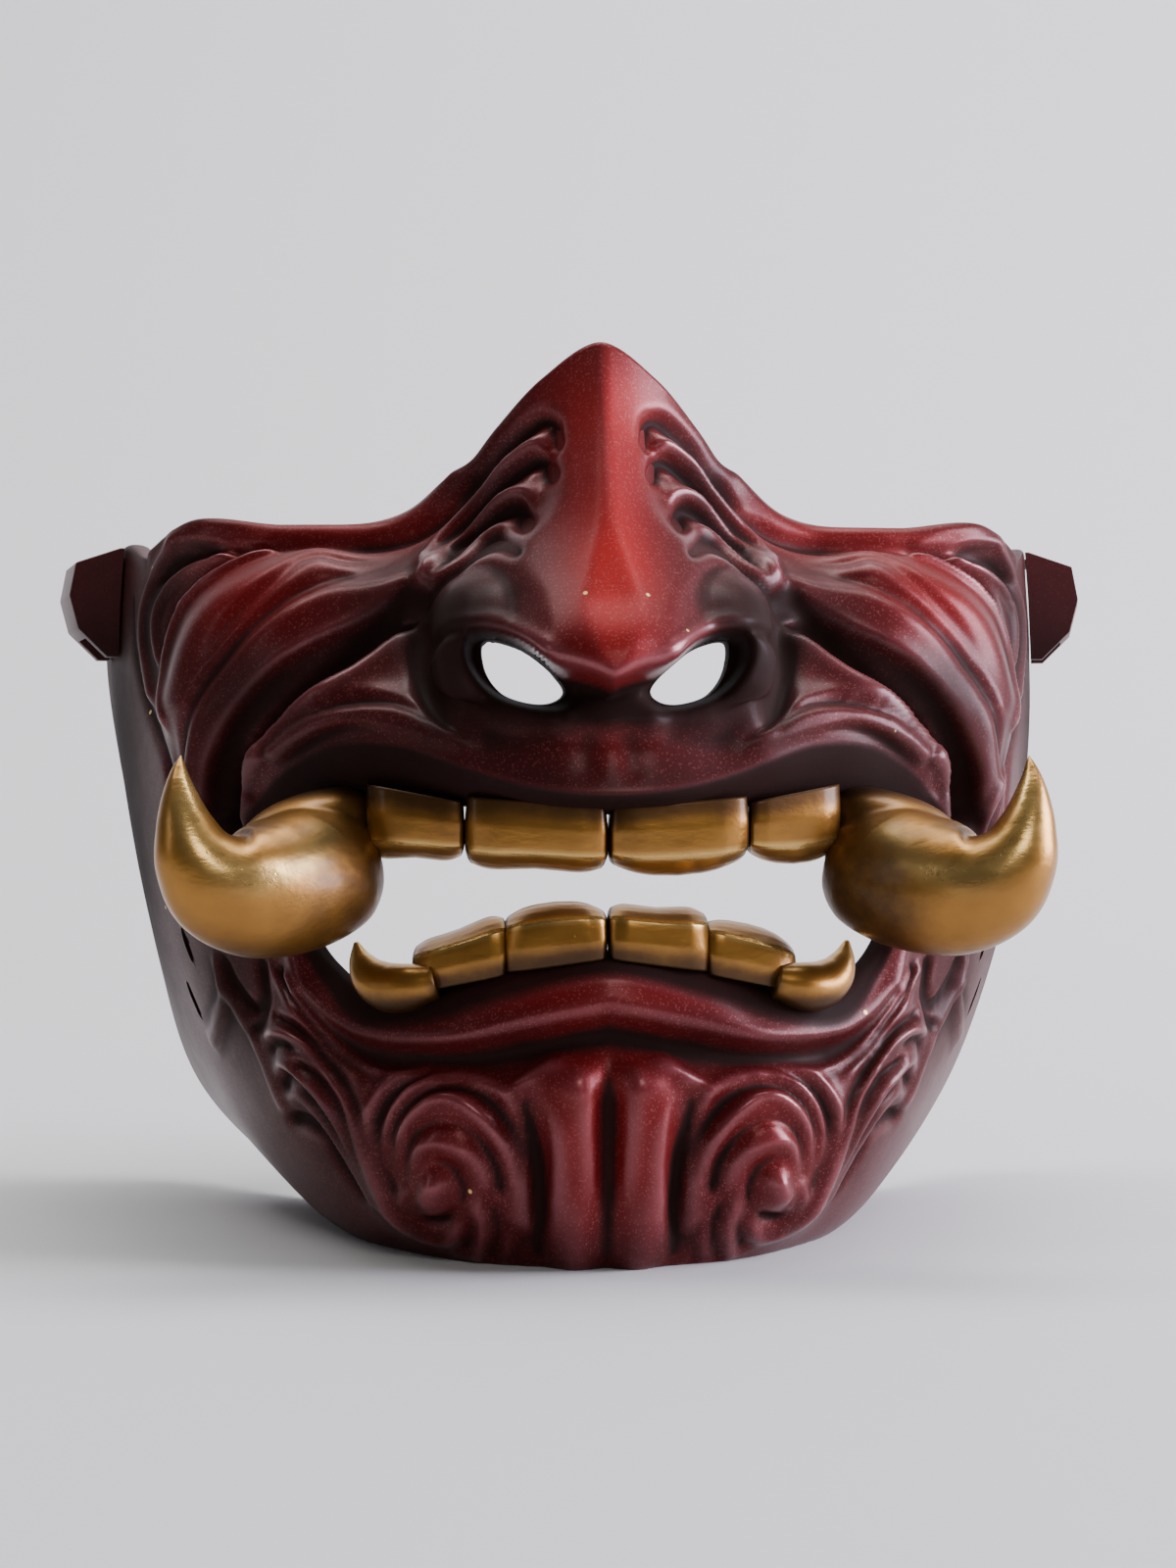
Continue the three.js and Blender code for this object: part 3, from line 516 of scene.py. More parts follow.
def holes():
    """Every hole through the shell: the two axes it is drawn in, its outline, its centre and its side"""
    out = []
    for side in (1, -1):
        flip = np.array((side, 1))
        out.append({"kind": "nostril", "axes": (0, 2), "side": side, "through": np.array((0, 4.4, 0)),
                    "outline": np.array(NOSTRIL_OUTLINE) * flip, "centre": np.array(NOSTRIL_CENTRE) * flip})
        for y, z, wide, high, lean in VENTS:
            through = np.array((-3.6 * side, 1.2, 0))
            out.append({"kind": "vent", "axes": (1, 2), "side": side, "through": through,
                        "outline": oval_outline((y, z), wide, high, lean), "centre": np.array((y, z))})
    return out


def near_hole(points, hole):
    """Which points lie on the stretch of the shell that the hole goes through"""
    if hole["kind"] == "nostril":
        return (points[:, 1] < -30) & (points[:, 0] * hole["side"] > 3) & (np.abs(points[:, 2] - 93) < 9)
    return (points[:, 0] * hole["side"] > 40) & (np.abs(points[:, 2] - hole["centre"][1]) < 8)


def cut_hole(points, faces, values, hole):
    """Clips triangles along the hole's outline; returns the new mesh and the hole's edge in order"""
    a, b = hole["axes"]
    near = near_hole(points, hole)
    distance = np.full(len(points), 1.0)
    distance[near] = hole_distance(points[near][:, (a, b)], hole["outline"], hole["centre"])
    distance = np.where(np.abs(distance) < 0.004, 0.004, distance)
    inside = distance < 0
    count = inside[faces].sum(axis=1)
    kept = [faces[count == 0]]
    new_points, new_values, made = [points], [values], {}

    def crossing(i, j):
        key = (min(i, j), max(i, j))
        if key not in made:
            f = distance[i] / (distance[i] - distance[j])
            made[key] = len(points) + len(made)
            new_points.append((points[i] + (points[j] - points[i]) * f)[None])
            new_values.append((values[i] + (values[j] - values[i]) * f)[None])
        return made[key]

    extra = []
    for tri in faces[(count > 0) & (count < 3)]:
        odd_one = inside[tri].sum() == 1
        turn = next(k for k in range(3) if inside[tri[k]] == odd_one)
        lone, second, third = tri[turn], tri[(turn + 1) % 3], tri[(turn + 2) % 3]
        p, q = crossing(lone, second), crossing(lone, third)
        if inside[lone]:
            extra += [(p, second, third), (p, third, q)]
        else:
            extra.append((lone, p, q))
    kept.append(np.array(extra, int).reshape(-1, 3))
    points, values = np.concatenate(new_points), np.concatenate(new_values)
    edge = np.array(sorted(made.values()))
    offset = points[edge][:, (a, b)] - hole["centre"]
    edge = edge[np.argsort(np.arctan2(offset[:, 1], offset[:, 0]))]
    return points, np.concatenate(kept), values, edge


def hole_wall(points, values, edge, hole):
    """The wall through the shell behind a hole's edge: rings that shrink a little and run inwards"""
    rim = points[edge]
    middle = rim.mean(axis=0)
    rings, shades = [], []
    for step, narrow in ((0.06, 0.985), (0.3, 0.965), (0.7, 0.955), (1.0, 0.96), (1.25, 1.0)):
        rings.append(middle + (rim - middle) * narrow + hole["through"] * step)
        # Darker the further the wall runs in: painted shade inside the hole
        shades.append(np.array((min(0.7 + step, 1), 0)) * np.ones((len(edge), 1)))
    n = len(edge)
    faces = []
    previous = edge
    for k in range(len(rings)):
        here = len(points) + k * n + np.arange(n)
        after, before = np.roll(here, -1), np.roll(previous, -1)
        faces += [np.stack([previous, here, after], 1), np.stack([previous, after, before], 1)]
        previous = here
    faces = np.concatenate(faces)
    first = points[edge[1]] - points[edge[0]]
    if np.dot(np.cross(hole["through"], first), middle - rim[0]) > 0:
        faces = faces[:, ::-1]
    return np.concatenate([points, *rings]), faces, np.concatenate([values, *shades])


def blurred(grid, passes):
    """Evens a ring of numbers out over its neighbours"""
    for _ in range(passes):
        above = np.concatenate([grid[:, 1:], grid[:, -1:]], axis=1)
        below = np.concatenate([grid[:, :1], grid[:, :-1]], axis=1)
        grid = 0.2 * (grid + above + below + np.roll(grid, 1, axis=0) + np.roll(grid, -1, axis=0))
    return grid


def rolled_edge(grid, normals, row, inward):
    """Rows that turn the shell's edge round, from its outer skin to its inner one"""
    outward = grid[:, row] - grid[:, inward]
    outward /= np.linalg.norm(outward, axis=1, keepdims=True)
    normal = normals[:, row]
    rows = []
    for k in range(1, EDGE_ROWS + 1):
        turn = math.pi * k / (EDGE_ROWS + 1)
        bulge = 0.9 * math.sin(turn)
        drop = 0.5 * WALL * (1 - math.cos(turn))
        rows.append(grid[:, row] + outward * bulge - normal * drop)
    rows.append(grid[:, row] - outward * 0.6 - normal * (WALL + 0.05))
    return rows


def ring_faces(columns, rows):
    """Triangles of a ring of columns, facing outwards"""
    i = np.arange(columns)[:, None]
    j = np.arange(rows - 1)[None]
    a = (i * rows + j).ravel()
    b = (((i + 1) % columns) * rows + j).ravel()
    return np.concatenate([np.stack([a, b + 1, a + 1], 1), np.stack([a, b, b + 1], 1)])


def half_ring(grid):
    return grid[: len(grid) // 2 + 1]


def evened(grid, passes):
    """Points or normals of a ring of columns, evened out over their neighbours"""
    return np.stack([blurred(part, passes) for part in np.moveaxis(grid, -1, 0)], axis=-1)


def carving_directions(grid):
    """Evened normals, so that carving along them doesn't cross itself"""
    normals = evened(ring_normals(grid), 6)
    return normals / np.maximum(np.linalg.norm(normals, axis=-1, keepdims=True), 1e-9)


def carved(grid, normals, forms):
    """Height of the forms over a whole ring, worked out on its +X half"""
    half = half_ring(grid)
    height = carved_height(half.reshape(-1, 3), half_ring(normals).reshape(-1, 3), forms)
    return mirrored(height.reshape(half.shape[:2])[..., None])[..., 0]


def hollowness(grid, passes):
    """How far each point lies under its surroundings; below 0 where it stands out"""
    return ((evened(grid, passes) - grid) * ring_normals(grid)).sum(-1)


def carved_face():
    """The face with every form raised on it or cut into it, as a ring of columns"""
    ring = mirrored(plain_face())
    rows = np.arange(ring.shape[1])[None]
    fade = np.clip((rows - GUM_ROWS + 1) / 9, 0, 1) ** 0.7
    broad = carved(ring, ring_normals(ring), BROAD_FORMS) * fade
    body = with_nose(ring + ring_normals(ring) * broad[..., None])
    normals = carving_directions(body)
    fine = CARVING_DEPTH * blurred(carved(body, normals, FINE_FORMS) * fade, 1)
    fine = np.where(fine < 0, DEEPEST_CUT * np.tanh(fine / DEEPEST_CUT), fine)
    face = evened(body + normals * fine[..., None], 1)
    face[..., 2] = np.maximum(face[..., 2], 0)
    return face


def face_paints(face):
    """Black wash with painted shade in the hollows and over the gum, and the lighter paint of the rubbed
    crests, partly a painted highlight
    """
    rows = np.arange(face.shape[1])[None]
    close, wide = hollowness(face, CLOSE_PASSES), hollowness(face, WIDE_PASSES)
    gum = 1 - np.clip((rows - GUM_ROWS + 1) / 2.5, 0, 1)
    wash_and_shade = np.maximum(np.clip(CLOSE_WASH_AND_SHADE * close + WIDE_WASH_AND_SHADE * wide, -0.2, 1), gum)
    crest = np.clip(-CREST_RUB_AND_HIGHLIGHT * close - CREST_START, 0, 1) * (1 - gum)
    return np.stack([wash_and_shade, crest], axis=-1)


def shell_skin():
    """Outer skin of the mask with its edges and holes: points, triangles and paints"""
    face = carved_face()
    mouth_edge = np.stack(rolled_edge(face, ring_normals(face), 0, 2)[::-1], axis=1)
    rim_edge = np.stack(rolled_edge(face, ring_normals(face), -1, -3), axis=1)
    grid = np.concatenate([mouth_edge, face, rim_edge], axis=1)
    grid[..., 2] = np.maximum(grid[..., 2], 0)
    ones = np.ones((*rim_edge.shape[:2], 1))
    paints = np.concatenate([ones * MOUTH_EDGE_PAINT, face_paints(face), ones * RIM_EDGE_PAINT], axis=1)
    points, values = grid.reshape(-1, 3), paints.reshape(-1, 2)
    faces = ring_faces(grid.shape[0], grid.shape[1])
    for hole in holes():
        points, faces, values, edge = cut_hole(points, faces, values, hole)
        points, wall, values = hole_wall(points, values, edge, hole)
        faces = np.concatenate([faces, wall])
    return points, faces, values


def lining_skin():
    """Plain inner wall of the mask, one wall thickness behind the outer skin"""
    ring = mirrored(plain_face(thin=3))
    normals = ring_normals(ring)
    back = blurred(np.minimum(carved(ring, normals, BROAD_FORMS), 0), 4) - WALL
    grid = with_nose(ring + normals * back[..., None], inset=WALL)
    grid[..., 2] = np.maximum(grid[..., 2], WALL)
    points = grid.reshape(-1, 3)
    faces = ring_faces(grid.shape[0], grid.shape[1])[:, ::-1]
    values = np.array(LINING_PAINT) * np.ones((len(points), 1))
    for hole in holes():
        points, faces, values, _ = cut_hole(points, faces, values, hole)
    return points, faces, values


# --- Teeth, tusks and lugs ---

# Flat teeth on the wearer's right: x range, root and cutting edge heights, front depth, thickness, turn,
# and the slope of root and edge
UPPER_TEETH = (
    (-38.4, -21.3, 74.3, 63.6, -44.2, 9, -0.42, (-0.17, -0.02)),
    (-22.2, 0.1, 73.0, 62.0, -50.4, 10, -0.14, (-0.07, -0.04)),
)
LOWER_TEETH = (
    (-30.8, -14.9, 44.6, 53.2, -45.2, 9, -0.36, (0.2, 0.3)),
    (-16.1, 0.1, 47.6, 56.8, -49.0, 9, -0.14, (0.13, 0.07)),
)
# A flat tooth from root to cutting edge: share of its height, width, thickness, and how far it sits back
TOOTH_PROFILE = (
    (0, 0.97, 0.96, 0.4), (0.35, 1, 1, 0), (0.62, 1, 0.98, 0.1), (0.74, 0.995, 0.96, 0.2),
    (0.8, 0.985, 0.9, 0.5), (0.9, 0.96, 0.74, 1.3), (0.97, 0.92, 0.58, 2), (1, 0.85, 0.46, 2.5),
)
# Tusk, its root and the fang on the wearer's left: centre line, half width across and half depth
TUSK_LINE = (
    (36.2, -34, 65.2, 2, 2), (37.6, -34.6, 64.8, 6.4, 5), (40.6, -36.4, 63.6, 9.4, 6.8),
    (45, -40, 61.6, 10.8, 8), (50, -44, 60, 10.9, 8.6), (55, -47.6, 59.4, 10.3, 8.6),
    (59.6, -50.5, 60.8, 8.8, 8), (62.8, -52, 64.6, 6.6, 6.3), (64.4, -52, 69.2, 4.6, 4.6),
    (65.2, -51.2, 73.4, 3, 3.1), (65.5, -50.1, 77, 1.6, 1.7), (65.3, -49, 80.2, 0.3, 0.3),
)
TUSK_ROOT = (
    (37.2, -32.5, 69.6, 4, 4.5), (41, -33.5, 69.8, 5.5, 6.2), (46, -35, 68.8, 5.7, 7),
    (51, -37, 66.8, 5.5, 7), (55.6, -39, 64.6, 4, 5.5),
)
# Size of the grid on which the tusk and its root are melded, and how often the join is smoothed
MELD_VOXEL, MELD_PASSES = 0.42, 10
# Broken edges of the lugs, in metres, and how far the paint is worn along them, which also paints a highlight
# there
LUG_BEVEL, LUG_WEAR_AND_HIGHLIGHT = 0.0006, 0.8
FANG_LINE = (
    (26.4, -41.8, 45, 2.8, 3.2), (30.4, -41, 44, 3.7, 3.6), (33.8, -39, 43.8, 3.9, 3.6),
    (36.6, -37, 45.2, 3.3, 3.2), (38.3, -35.4, 47.6, 2.1, 2.3), (39.2, -34.4, 50.6, 0.4, 0.4),
)


def whole_row(half):
    """The teeth of a half row and their mirror images, from one end of the row to the other"""
    mirror = [(-x1, -x0, *sizes, -turn, (-root_slope, -edge_slope))
              for x0, x1, *sizes, turn, (root_slope, edge_slope) in reversed(half)]
    return [*half, *mirror]


def stacked_rings(rings):
    """Points and triangles of rings stacked into a closed skin, with its two ends capped"""
    count, sides = len(rings), len(rings[0])
    points = np.concatenate([*rings, rings[0].mean(0)[None], rings[-1].mean(0)[None]])
    here = np.arange(sides)
    ahead = (here + 1) % sides
    faces = []
    for low in range(0, (count - 1) * sides, sides):
        high = low + sides
        faces.append(np.stack([low + here, low + ahead, high + ahead], 1))
        faces.append(np.stack([low + here, high + ahead, high + here], 1))
    top, first, last = (count - 1) * sides, count * sides, count * sides + 1
    faces.append(np.stack([np.full(sides, first), ahead, here], 1))
    faces.append(np.stack([np.full(sides, last), top + here, top + ahead], 1))
    return points, np.concatenate(faces)


def facing_out(points, faces):
    """Turns the triangles so that they face out of the closed skin"""
    a, b, c = (points[faces[:, k]] for k in range(3))
    volume = (a * np.cross(b, c)).sum()
    return faces if volume > 0 else faces[:, ::-1]


def flat_tooth(x0, x1, root, edge, front, thick, turn, slopes):
    """A hand-cut chisel tooth: rounded corners, a faintly faceted front and a bevelled cutting edge"""
    centre, half = (x0 + x1) / 2, (x1 - x0) / 2
    around = np.linspace(0, 2 * math.pi, 96, endpoint=False)
    side = np.sign(np.cos(around)) * np.abs(np.cos(around)) ** 0.34
    deep_side = np.sign(np.sin(around)) * np.abs(np.sin(around)) ** 0.34
    toward_middle = -np.sign(centre)
    rings, paints = [], []
    stops, *profile = np.array(TOOTH_PROFILE).T
    for s in np.concatenate([np.linspace(0, 0.7, 16), np.linspace(0.72, 1.0, 18)]):
        wide, deep, shift = (np.interp(s, stops, amounts) for amounts in profile)
        wide = half * wide
        facet = 0.8 * np.maximum(np.abs(side) - 0.62, 0) / 0.38
        facet = facet + 0.9 * np.abs(side + 0.25 * toward_middle) - 0.3
        facet = facet * (deep_side < 0) * (0.4 + 0.6 * s)
        corner = (edge - root) * (0.1 * np.abs(side) ** 5 + 0.05 * np.sin(2.2 * side + centre)) * s ** 3
        x = centre + wide * side * math.cos(turn)
        y = front + thick / 2 + shift + wide * side * math.sin(turn) + thick / 2 * deep * deep_side + facet
        z = root + (edge - root) * s - corner + wide * side * (slopes[0] * (1 - s) + slopes[1] * s)
        rings.append(np.stack([x, y, z], 1))
        # Painted shade darkens the tooth towards its root under the lip and on its sides between the teeth;
        # the band along the bevel is rubbed lighter, partly as a painted highlight
        dark = np.interp(s, (0, 0.16, 0.4, 1), (1.0, 0.85, 0.2, 0.0)) + 0.9 * (np.abs(side) > 0.96)
        wear_and_highlight = np.interp(s, (0.66, 0.76, 0.84, 1), (0.0, 1.0, 0.1, 0.0)) * (np.abs(side) < 0.96)
        paints.append(np.stack([np.clip(dark, 0, 1), wear_and_highlight], axis=1))
    points, faces = stacked_rings(rings)
    return points, facing_out(points, faces), np.concatenate([*paints, [(1.0, 0.0), (0.0, 0.0)]])


def horn(line, side, sides=72, step=0.45):
    """Skin of a horn along its centre line, oval across"""
    smooth = smooth_open(line, step)
    centre, wide, deep = smooth[:, :3] * (side, 1, 1), smooth[:, 3, None], smooth[:, 4, None]
    heading = np.gradient(centre, axis=0)
    heading /= np.linalg.norm(heading, axis=1, keepdims=True)
    across = np.cross((0, 1, 0), heading)
    across /= np.linalg.norm(across, axis=1, keepdims=True)
    up = np.cross(heading, across)
    around = np.linspace(0, 2 * math.pi, sides, endpoint=False)
    c, s = np.cos(around)[None, :, None], np.sin(around)[None, :, None]
    rings = centre[:, None] + np.maximum(wide, 0.05)[:, None] * c * across[:, None]
    rings = rings + np.maximum(deep, 0.05)[:, None] * s * up[:, None]
    points, faces = stacked_rings(list(rings))
    return points, facing_out(points, faces)


def melded(skins, voxel, passes):
    """One smooth skin over several overlapping ones"""
    points = np.concatenate([part for part, _ in skins])
    starts = np.cumsum([0] + [len(part) for part, _ in skins])
    faces = np.concatenate([part + start for (_, part), start in zip(skins, starts)])
    mesh = bpy.data.meshes.new("melding")
    mesh.from_pydata(points.tolist(), [], faces.tolist())
    item = bpy.data.objects.new("melding", mesh)
    bpy.context.scene.collection.objects.link(item)
    remesh = item.modifiers.new("remesh", "REMESH")
    remesh.mode = "VOXEL"
    remesh.voxel_size = voxel
    smooth = item.modifiers.new("smooth", "SMOOTH")
    smooth.factor = 0.6
    smooth.iterations = passes
    done = item.evaluated_get(bpy.context.evaluated_depsgraph_get()).to_mesh()
    done.calc_loop_triangles()
    out = np.empty(len(done.vertices) * 3, np.float32)
    done.vertices.foreach_get("co", out)
    tris = np.empty(len(done.loop_triangles) * 3, np.int32)
    done.loop_triangles.foreach_get("vertices", tris)
    bpy.data.objects.remove(item)
    bpy.data.meshes.remove(mesh)
    return out.reshape(-1, 3).astype(float), tris.reshape(-1, 3)


def tusk_paints(points):
    """Painted brown shade at the tusk's root, in its crease, underneath, behind it and on its inner side, and
    gold rubbed bright down the front of the horn, partly as a painted highlight
    """
    x, y, z = np.abs(points[:, 0]), points[:, 1], points[:, 2]
    root = np.clip((z - 70.5) / 4, 0, 1) * np.clip((56 - x) / 4, 0, 1)
    root = np.maximum(root, np.clip((40 - x) / 5, 0, 1) * 0.8)
    crease = 0.7 * np.exp(-((z - 70.5 + 0.2 * (x - 46)) / 1.6) ** 2) * np.exp(-((x - 53) / 6) ** 2)
    below = 0.75 * np.clip((54 - z) / 6, 0, 1)
    behind = np.clip((y + 40) / 8, 0, 1) * 0.7
    wear_and_highlight = np.exp(-((np.hypot(x - 53, z - 73) - 11) / 2.2) ** 2) * (y < -44)
    inner = 0.7 * np.clip((54 - x) / 10, 0, 1)
    wash_and_shade = np.clip(np.maximum.reduce([root, crease, below, behind, inner]), 0, 1)
    return np.stack([wash_and_shade, wear_and_highlight], axis=1)


def fang_paints(points):
    """Painted brown shade at the fang's foot and its inner end, and gold rubbed bright towards its tip,
    partly as a painted highlight
    """
    x, z = np.abs(points[:, 0]), points[:, 2]
    wash_and_shade = np.maximum(np.clip((44.5 - z) / 3, 0, 1), np.clip((29 - x) / 3, 0, 0.8))
    return np.stack([wash_and_shade, 0.6 * np.clip((z - 46) / 3, 0, 1)], axis=1)


def in_fixed_order(points, faces, paints):
    """The same skin with its points and triangles sorted, so that every run builds them alike"""
    order = np.lexsort(points.T[::-1])
    place = np.argsort(order)
    faces = place[faces]
    turn = (faces.argmin(axis=1)[:, None] + np.arange(3)) % 3
    faces = np.take_along_axis(faces, turn, axis=1)
    return points[order], faces[np.lexsort(faces.T[::-1])], paints[order]


def lug_skin(node):
    """The lug's facets with their edges broken, and the paint worn off along them, lighter as a painted
    highlight
    """
    shape = bmesh.new()
    shape.from_mesh(node.data)
    bmesh.ops.remove_doubles(shape, verts=shape.verts, dist=1e-6)
    bmesh.ops.dissolve_limit(shape, angle_limit=0.02, verts=shape.verts, edges=shape.edges)
    sharp = [edge for edge in shape.edges if edge.is_manifold and edge.calc_face_angle(0) > 0.25]
    done = bmesh.ops.bevel(shape, geom=sharp, offset=LUG_BEVEL, segments=3, profile=0.6, affect="EDGES",
                           clamp_overlap=True)
    wear_and_highlight = {vert for face in done["faces"] for vert in face.verts}
    bmesh.ops.triangulate(shape, faces=shape.faces)
    shape.verts.index_update()
    points = np.array([vert.co[:] for vert in shape.verts]) / MM
    faces = np.array([[vert.index for vert in face.verts] for face in shape.faces])
    paints = np.array([(0.0, LUG_WEAR_AND_HIGHLIGHT if vert in wear_and_highlight else 0.0) for vert in shape.verts])
    shape.free()
    return in_fixed_order(points, faces, paints)


# --- Shader nodes as expressions ---


# Sockets of a Mix node that are used when it mixes colours
MIX_FACTOR, MIX_A, MIX_B, MIX_RESULT = 0, 6, 7, 2


class Value:
    """A number or colour on a shader socket, with arithmetic that adds Math nodes"""

    def __init__(self, paint, socket):
        self.paint = paint
        self.socket = socket

    def _math(self, operation, first, second):
        return self.paint.node("ShaderNodeMath", {"operation": operation}, {0: first, 1: second})

    def __add__(self, other):
        return self._math("ADD", self, other)

    def __radd__(self, other):
        return self._math("ADD", other, self)

    def __sub__(self, other):
        return self._math("SUBTRACT", self, other)

    def __rsub__(self, other):
        return self._math("SUBTRACT", other, self)

    def __mul__(self, other):
        return self._math("MULTIPLY", self, other)

    def __rmul__(self, other):
        return self._math("MULTIPLY", other, self)


class Paint:
    """A material whose nodes are added one call at a time"""

    def __init__(self, name):
        self.material = bpy.data.materials.new(name)
        self.material.use_nodes = True
        self.nodes = self.material.node_tree.nodes
        self.links = self.material.node_tree.links
        self.shader = self.nodes["Principled BSDF"]

    def set_socket(self, socket, value):
        if isinstance(value, Value):
            self.links.new(value.socket, socket)
        elif socket.type == "RGBA" and len(value) == 3:
            socket.default_value = (*value, 1.0)
        else:
            socket.default_value = value

    def node(self, kind, settings=None, inputs=None, output=0):
        item = self.nodes.new(kind)
        for key, value in (settings or {}).items():
            setattr(item, key, value)
        for key, value in (inputs or {}).items():
            self.set_socket(item.inputs[key], value)
        return Value(self, item.outputs[output])

    def place(self, stretch=None):
        place = self.node("ShaderNodeTexCoord", output="Object")
        if stretch is None:
            return place
        return self.node("ShaderNodeVectorMath", {"operation": "MULTIPLY"}, {0: place, 1: stretch}, "Vector")

    def painted(self, name):
        return self.node("ShaderNodeAttribute", {"attribute_name": name}, output="Fac")

    def noise(self, scale, detail=3.0, rough=0.5, vector=None):
        inputs = {"Scale": scale, "Detail": detail, "Roughness": rough, "Vector": vector or self.place()}
        return self.node("ShaderNodeTexNoise", {}, inputs, output="Fac")

    def cells(self, scale, output="Distance"):
        inputs = {"Scale": scale, "Vector": self.place()}
        return self.node("ShaderNodeTexVoronoi", {"feature": "F1"}, inputs, output=output)

    def cell_chance(self, scale):
        """A random amount for each of the same cells"""
        tint = self.cells(scale, output="Color")
        return self.node("ShaderNodeSeparateColor", {}, {"Color": tint}, output="Green")

    def range(self, value, low, high, to_low=0.0, to_high=1.0):
        inputs = {"Value": value, "From Min": low, "From Max": high, "To Min": to_low, "To Max": to_high}
        return self.node("ShaderNodeMapRange", {"interpolation_type": "SMOOTHSTEP"}, inputs, output="Result")

    def mix(self, factor, first, second):
        settings = {"data_type": "RGBA"}
        inputs = {MIX_FACTOR: factor, MIX_A: first, MIX_B: second}
        return self.node("ShaderNodeMix", settings, inputs, output=MIX_RESULT)

    def bump(self, height, distance, strength=1.0, normal=None):
        inputs = {"Height": height, "Distance": distance, "Strength": strength}
        if normal is not None:
            inputs["Normal"] = normal
        return self.node("ShaderNodeBump", {}, inputs, output="Normal")

    def finish(self, **inputs):
        for key, value in inputs.items():
            self.set_socket(self.shader.inputs[key.replace("_", " ")], value)
        return self.material


def layer_lines(paint, pitch):
    """Faint contour lines left where the shell was built up in layers"""
    height = paint.node("ShaderNodeSeparateXYZ", {}, {"Vector": paint.place()}, output="Z")
    wander = paint.noise(60.0, 2.0) * 0.0004
    return paint.node("ShaderNodeMath", {"operation": "SINE"}, {0: (height + wander) * (2 * math.pi / pitch)})


def crimson_lacquer(settings):
    """Metallic crimson lacquer, with a black wash and painted shade in the hollows, and worn, lighter crests
    that are partly a painted highlight
    """
    paint = Paint("crimson lacquer over black wash and painted shade")
    wash_and_shade_mask, crest_mask, glow_mask = (paint.painted(name) for name in ("wash_and_shade", "crest", "glow"))
    cloud = paint.noise(45.0, 4.0, 0.6)
    mottle = paint.noise(380.0, 3.0, 0.6)
    flake = paint.cells(4200.0, output="Color")
    sparkle = paint.node("ShaderNodeSeparateColor", {}, {"Color": flake}, output="Red")
    # Brighter red lacquer on the bridge, and painted light on the cheeks, brow, lips and chin
    red = paint.mix(glow_mask, settings.lacquer, settings.bright_lacquer_and_light)
    red = paint.mix(cloud * 0.55, red, settings.deep_lacquer)
    red = paint.mix(paint.range(sparkle, 0.8, 1.0) * 0.3, red, settings.flake)
    # Crests rubbed lighter: wear that is partly a painted highlight
    red = paint.mix(crest_mask * (0.25 + 0.5 * mottle), red, settings.wear_and_highlight)
    # Black wash with painted shade in the hollows, its edge clouded
    edge = wash_and_shade_mask + (cloud - 0.5) * 0.3 + (mottle - 0.5) * 0.12
    washed_and_shaded = paint.range(edge, 0.0, 1.05)
    colour = paint.mix(washed_and_shaded, red, settings.wash_and_shade)
    grain = paint.noise(2400.0, 2.0) * 0.5 + mottle * 0.5
    bump = paint.bump(grain, 0.00007, 0.5)
    bump = paint.bump(layer_lines(paint, 0.0007), 0.000008, 0.2, bump)
    speck = paint.range(paint.cells(95.0), 0.045, 0.03) * paint.range(paint.cell_chance(95.0), 0.72, 0.74)
    colour = paint.mix(speck, colour, settings.highlight_and_speck_gold)
    rough = 0.33 + 0.1 * cloud + 0.38 * washed_and_shaded + 0.1 * glow_mask - 0.1 * crest_mask
    coat = (0.22 + 0.5 * crest_mask - 0.1 * glow_mask) * (1.0 - 0.95 * washed_and_shaded)
    return paint.finish(Base_Color=colour, Roughness=rough, Metallic=0.35 - 0.3 * washed_and_shaded, Normal=bump,
                        Coat_Weight=coat, Coat_Roughness=0.26, Specular_IOR_Level=0.1)


def gold_paint(settings):
    """Brushed gold paint, rubbed bright on its crests, partly as a painted highlight, and shaded brown
    towards the gums as painted shade
    """
    paint = Paint("gold paint with brown shading")
    brown_shade_mask, wear_and_highlight_mask = paint.painted("wash_and_shade"), paint.painted("crest")
    cloud = paint.noise(80.0, 4.0, 0.6)
    brush = paint.noise(520.0, 4.0, 0.65, paint.place(stretch=(0.3, 1.0, 1.0)))
    pits = paint.range(paint.cells(330.0), 0.02, 0.09)
    bright = paint.mix(cloud * 0.8, settings.gold, settings.deep_gold)
    # Crests rubbed bright, partly as a painted highlight
    bright = paint.mix(wear_and_highlight_mask * (0.3 + 0.5 * brush), bright, settings.highlight_and_speck_gold)
    # Painted brown shade towards the gums and under the tusks
    brown_shade = paint.range(brown_shade_mask + (cloud - 0.5) * 0.6 + (brush - 0.5) * 0.3, 0.1, 1.0)
    colour = paint.mix(brown_shade * 0.85, bright, settings.gold_shade)
    rough = 0.27 + 0.16 * brush + 0.15 * brown_shade - 0.1 * wear_and_highlight_mask
    bump = paint.bump(brush, 0.0002, 0.5)
    bump = paint.bump(pits, 0.00008, 0.35, bump)
    return paint.finish(Base_Color=colour, Roughness=rough, Metallic=0.85, Normal=bump,
                        Coat_Weight=0.25, Coat_Roughness=0.2)


# --- Pieces ---

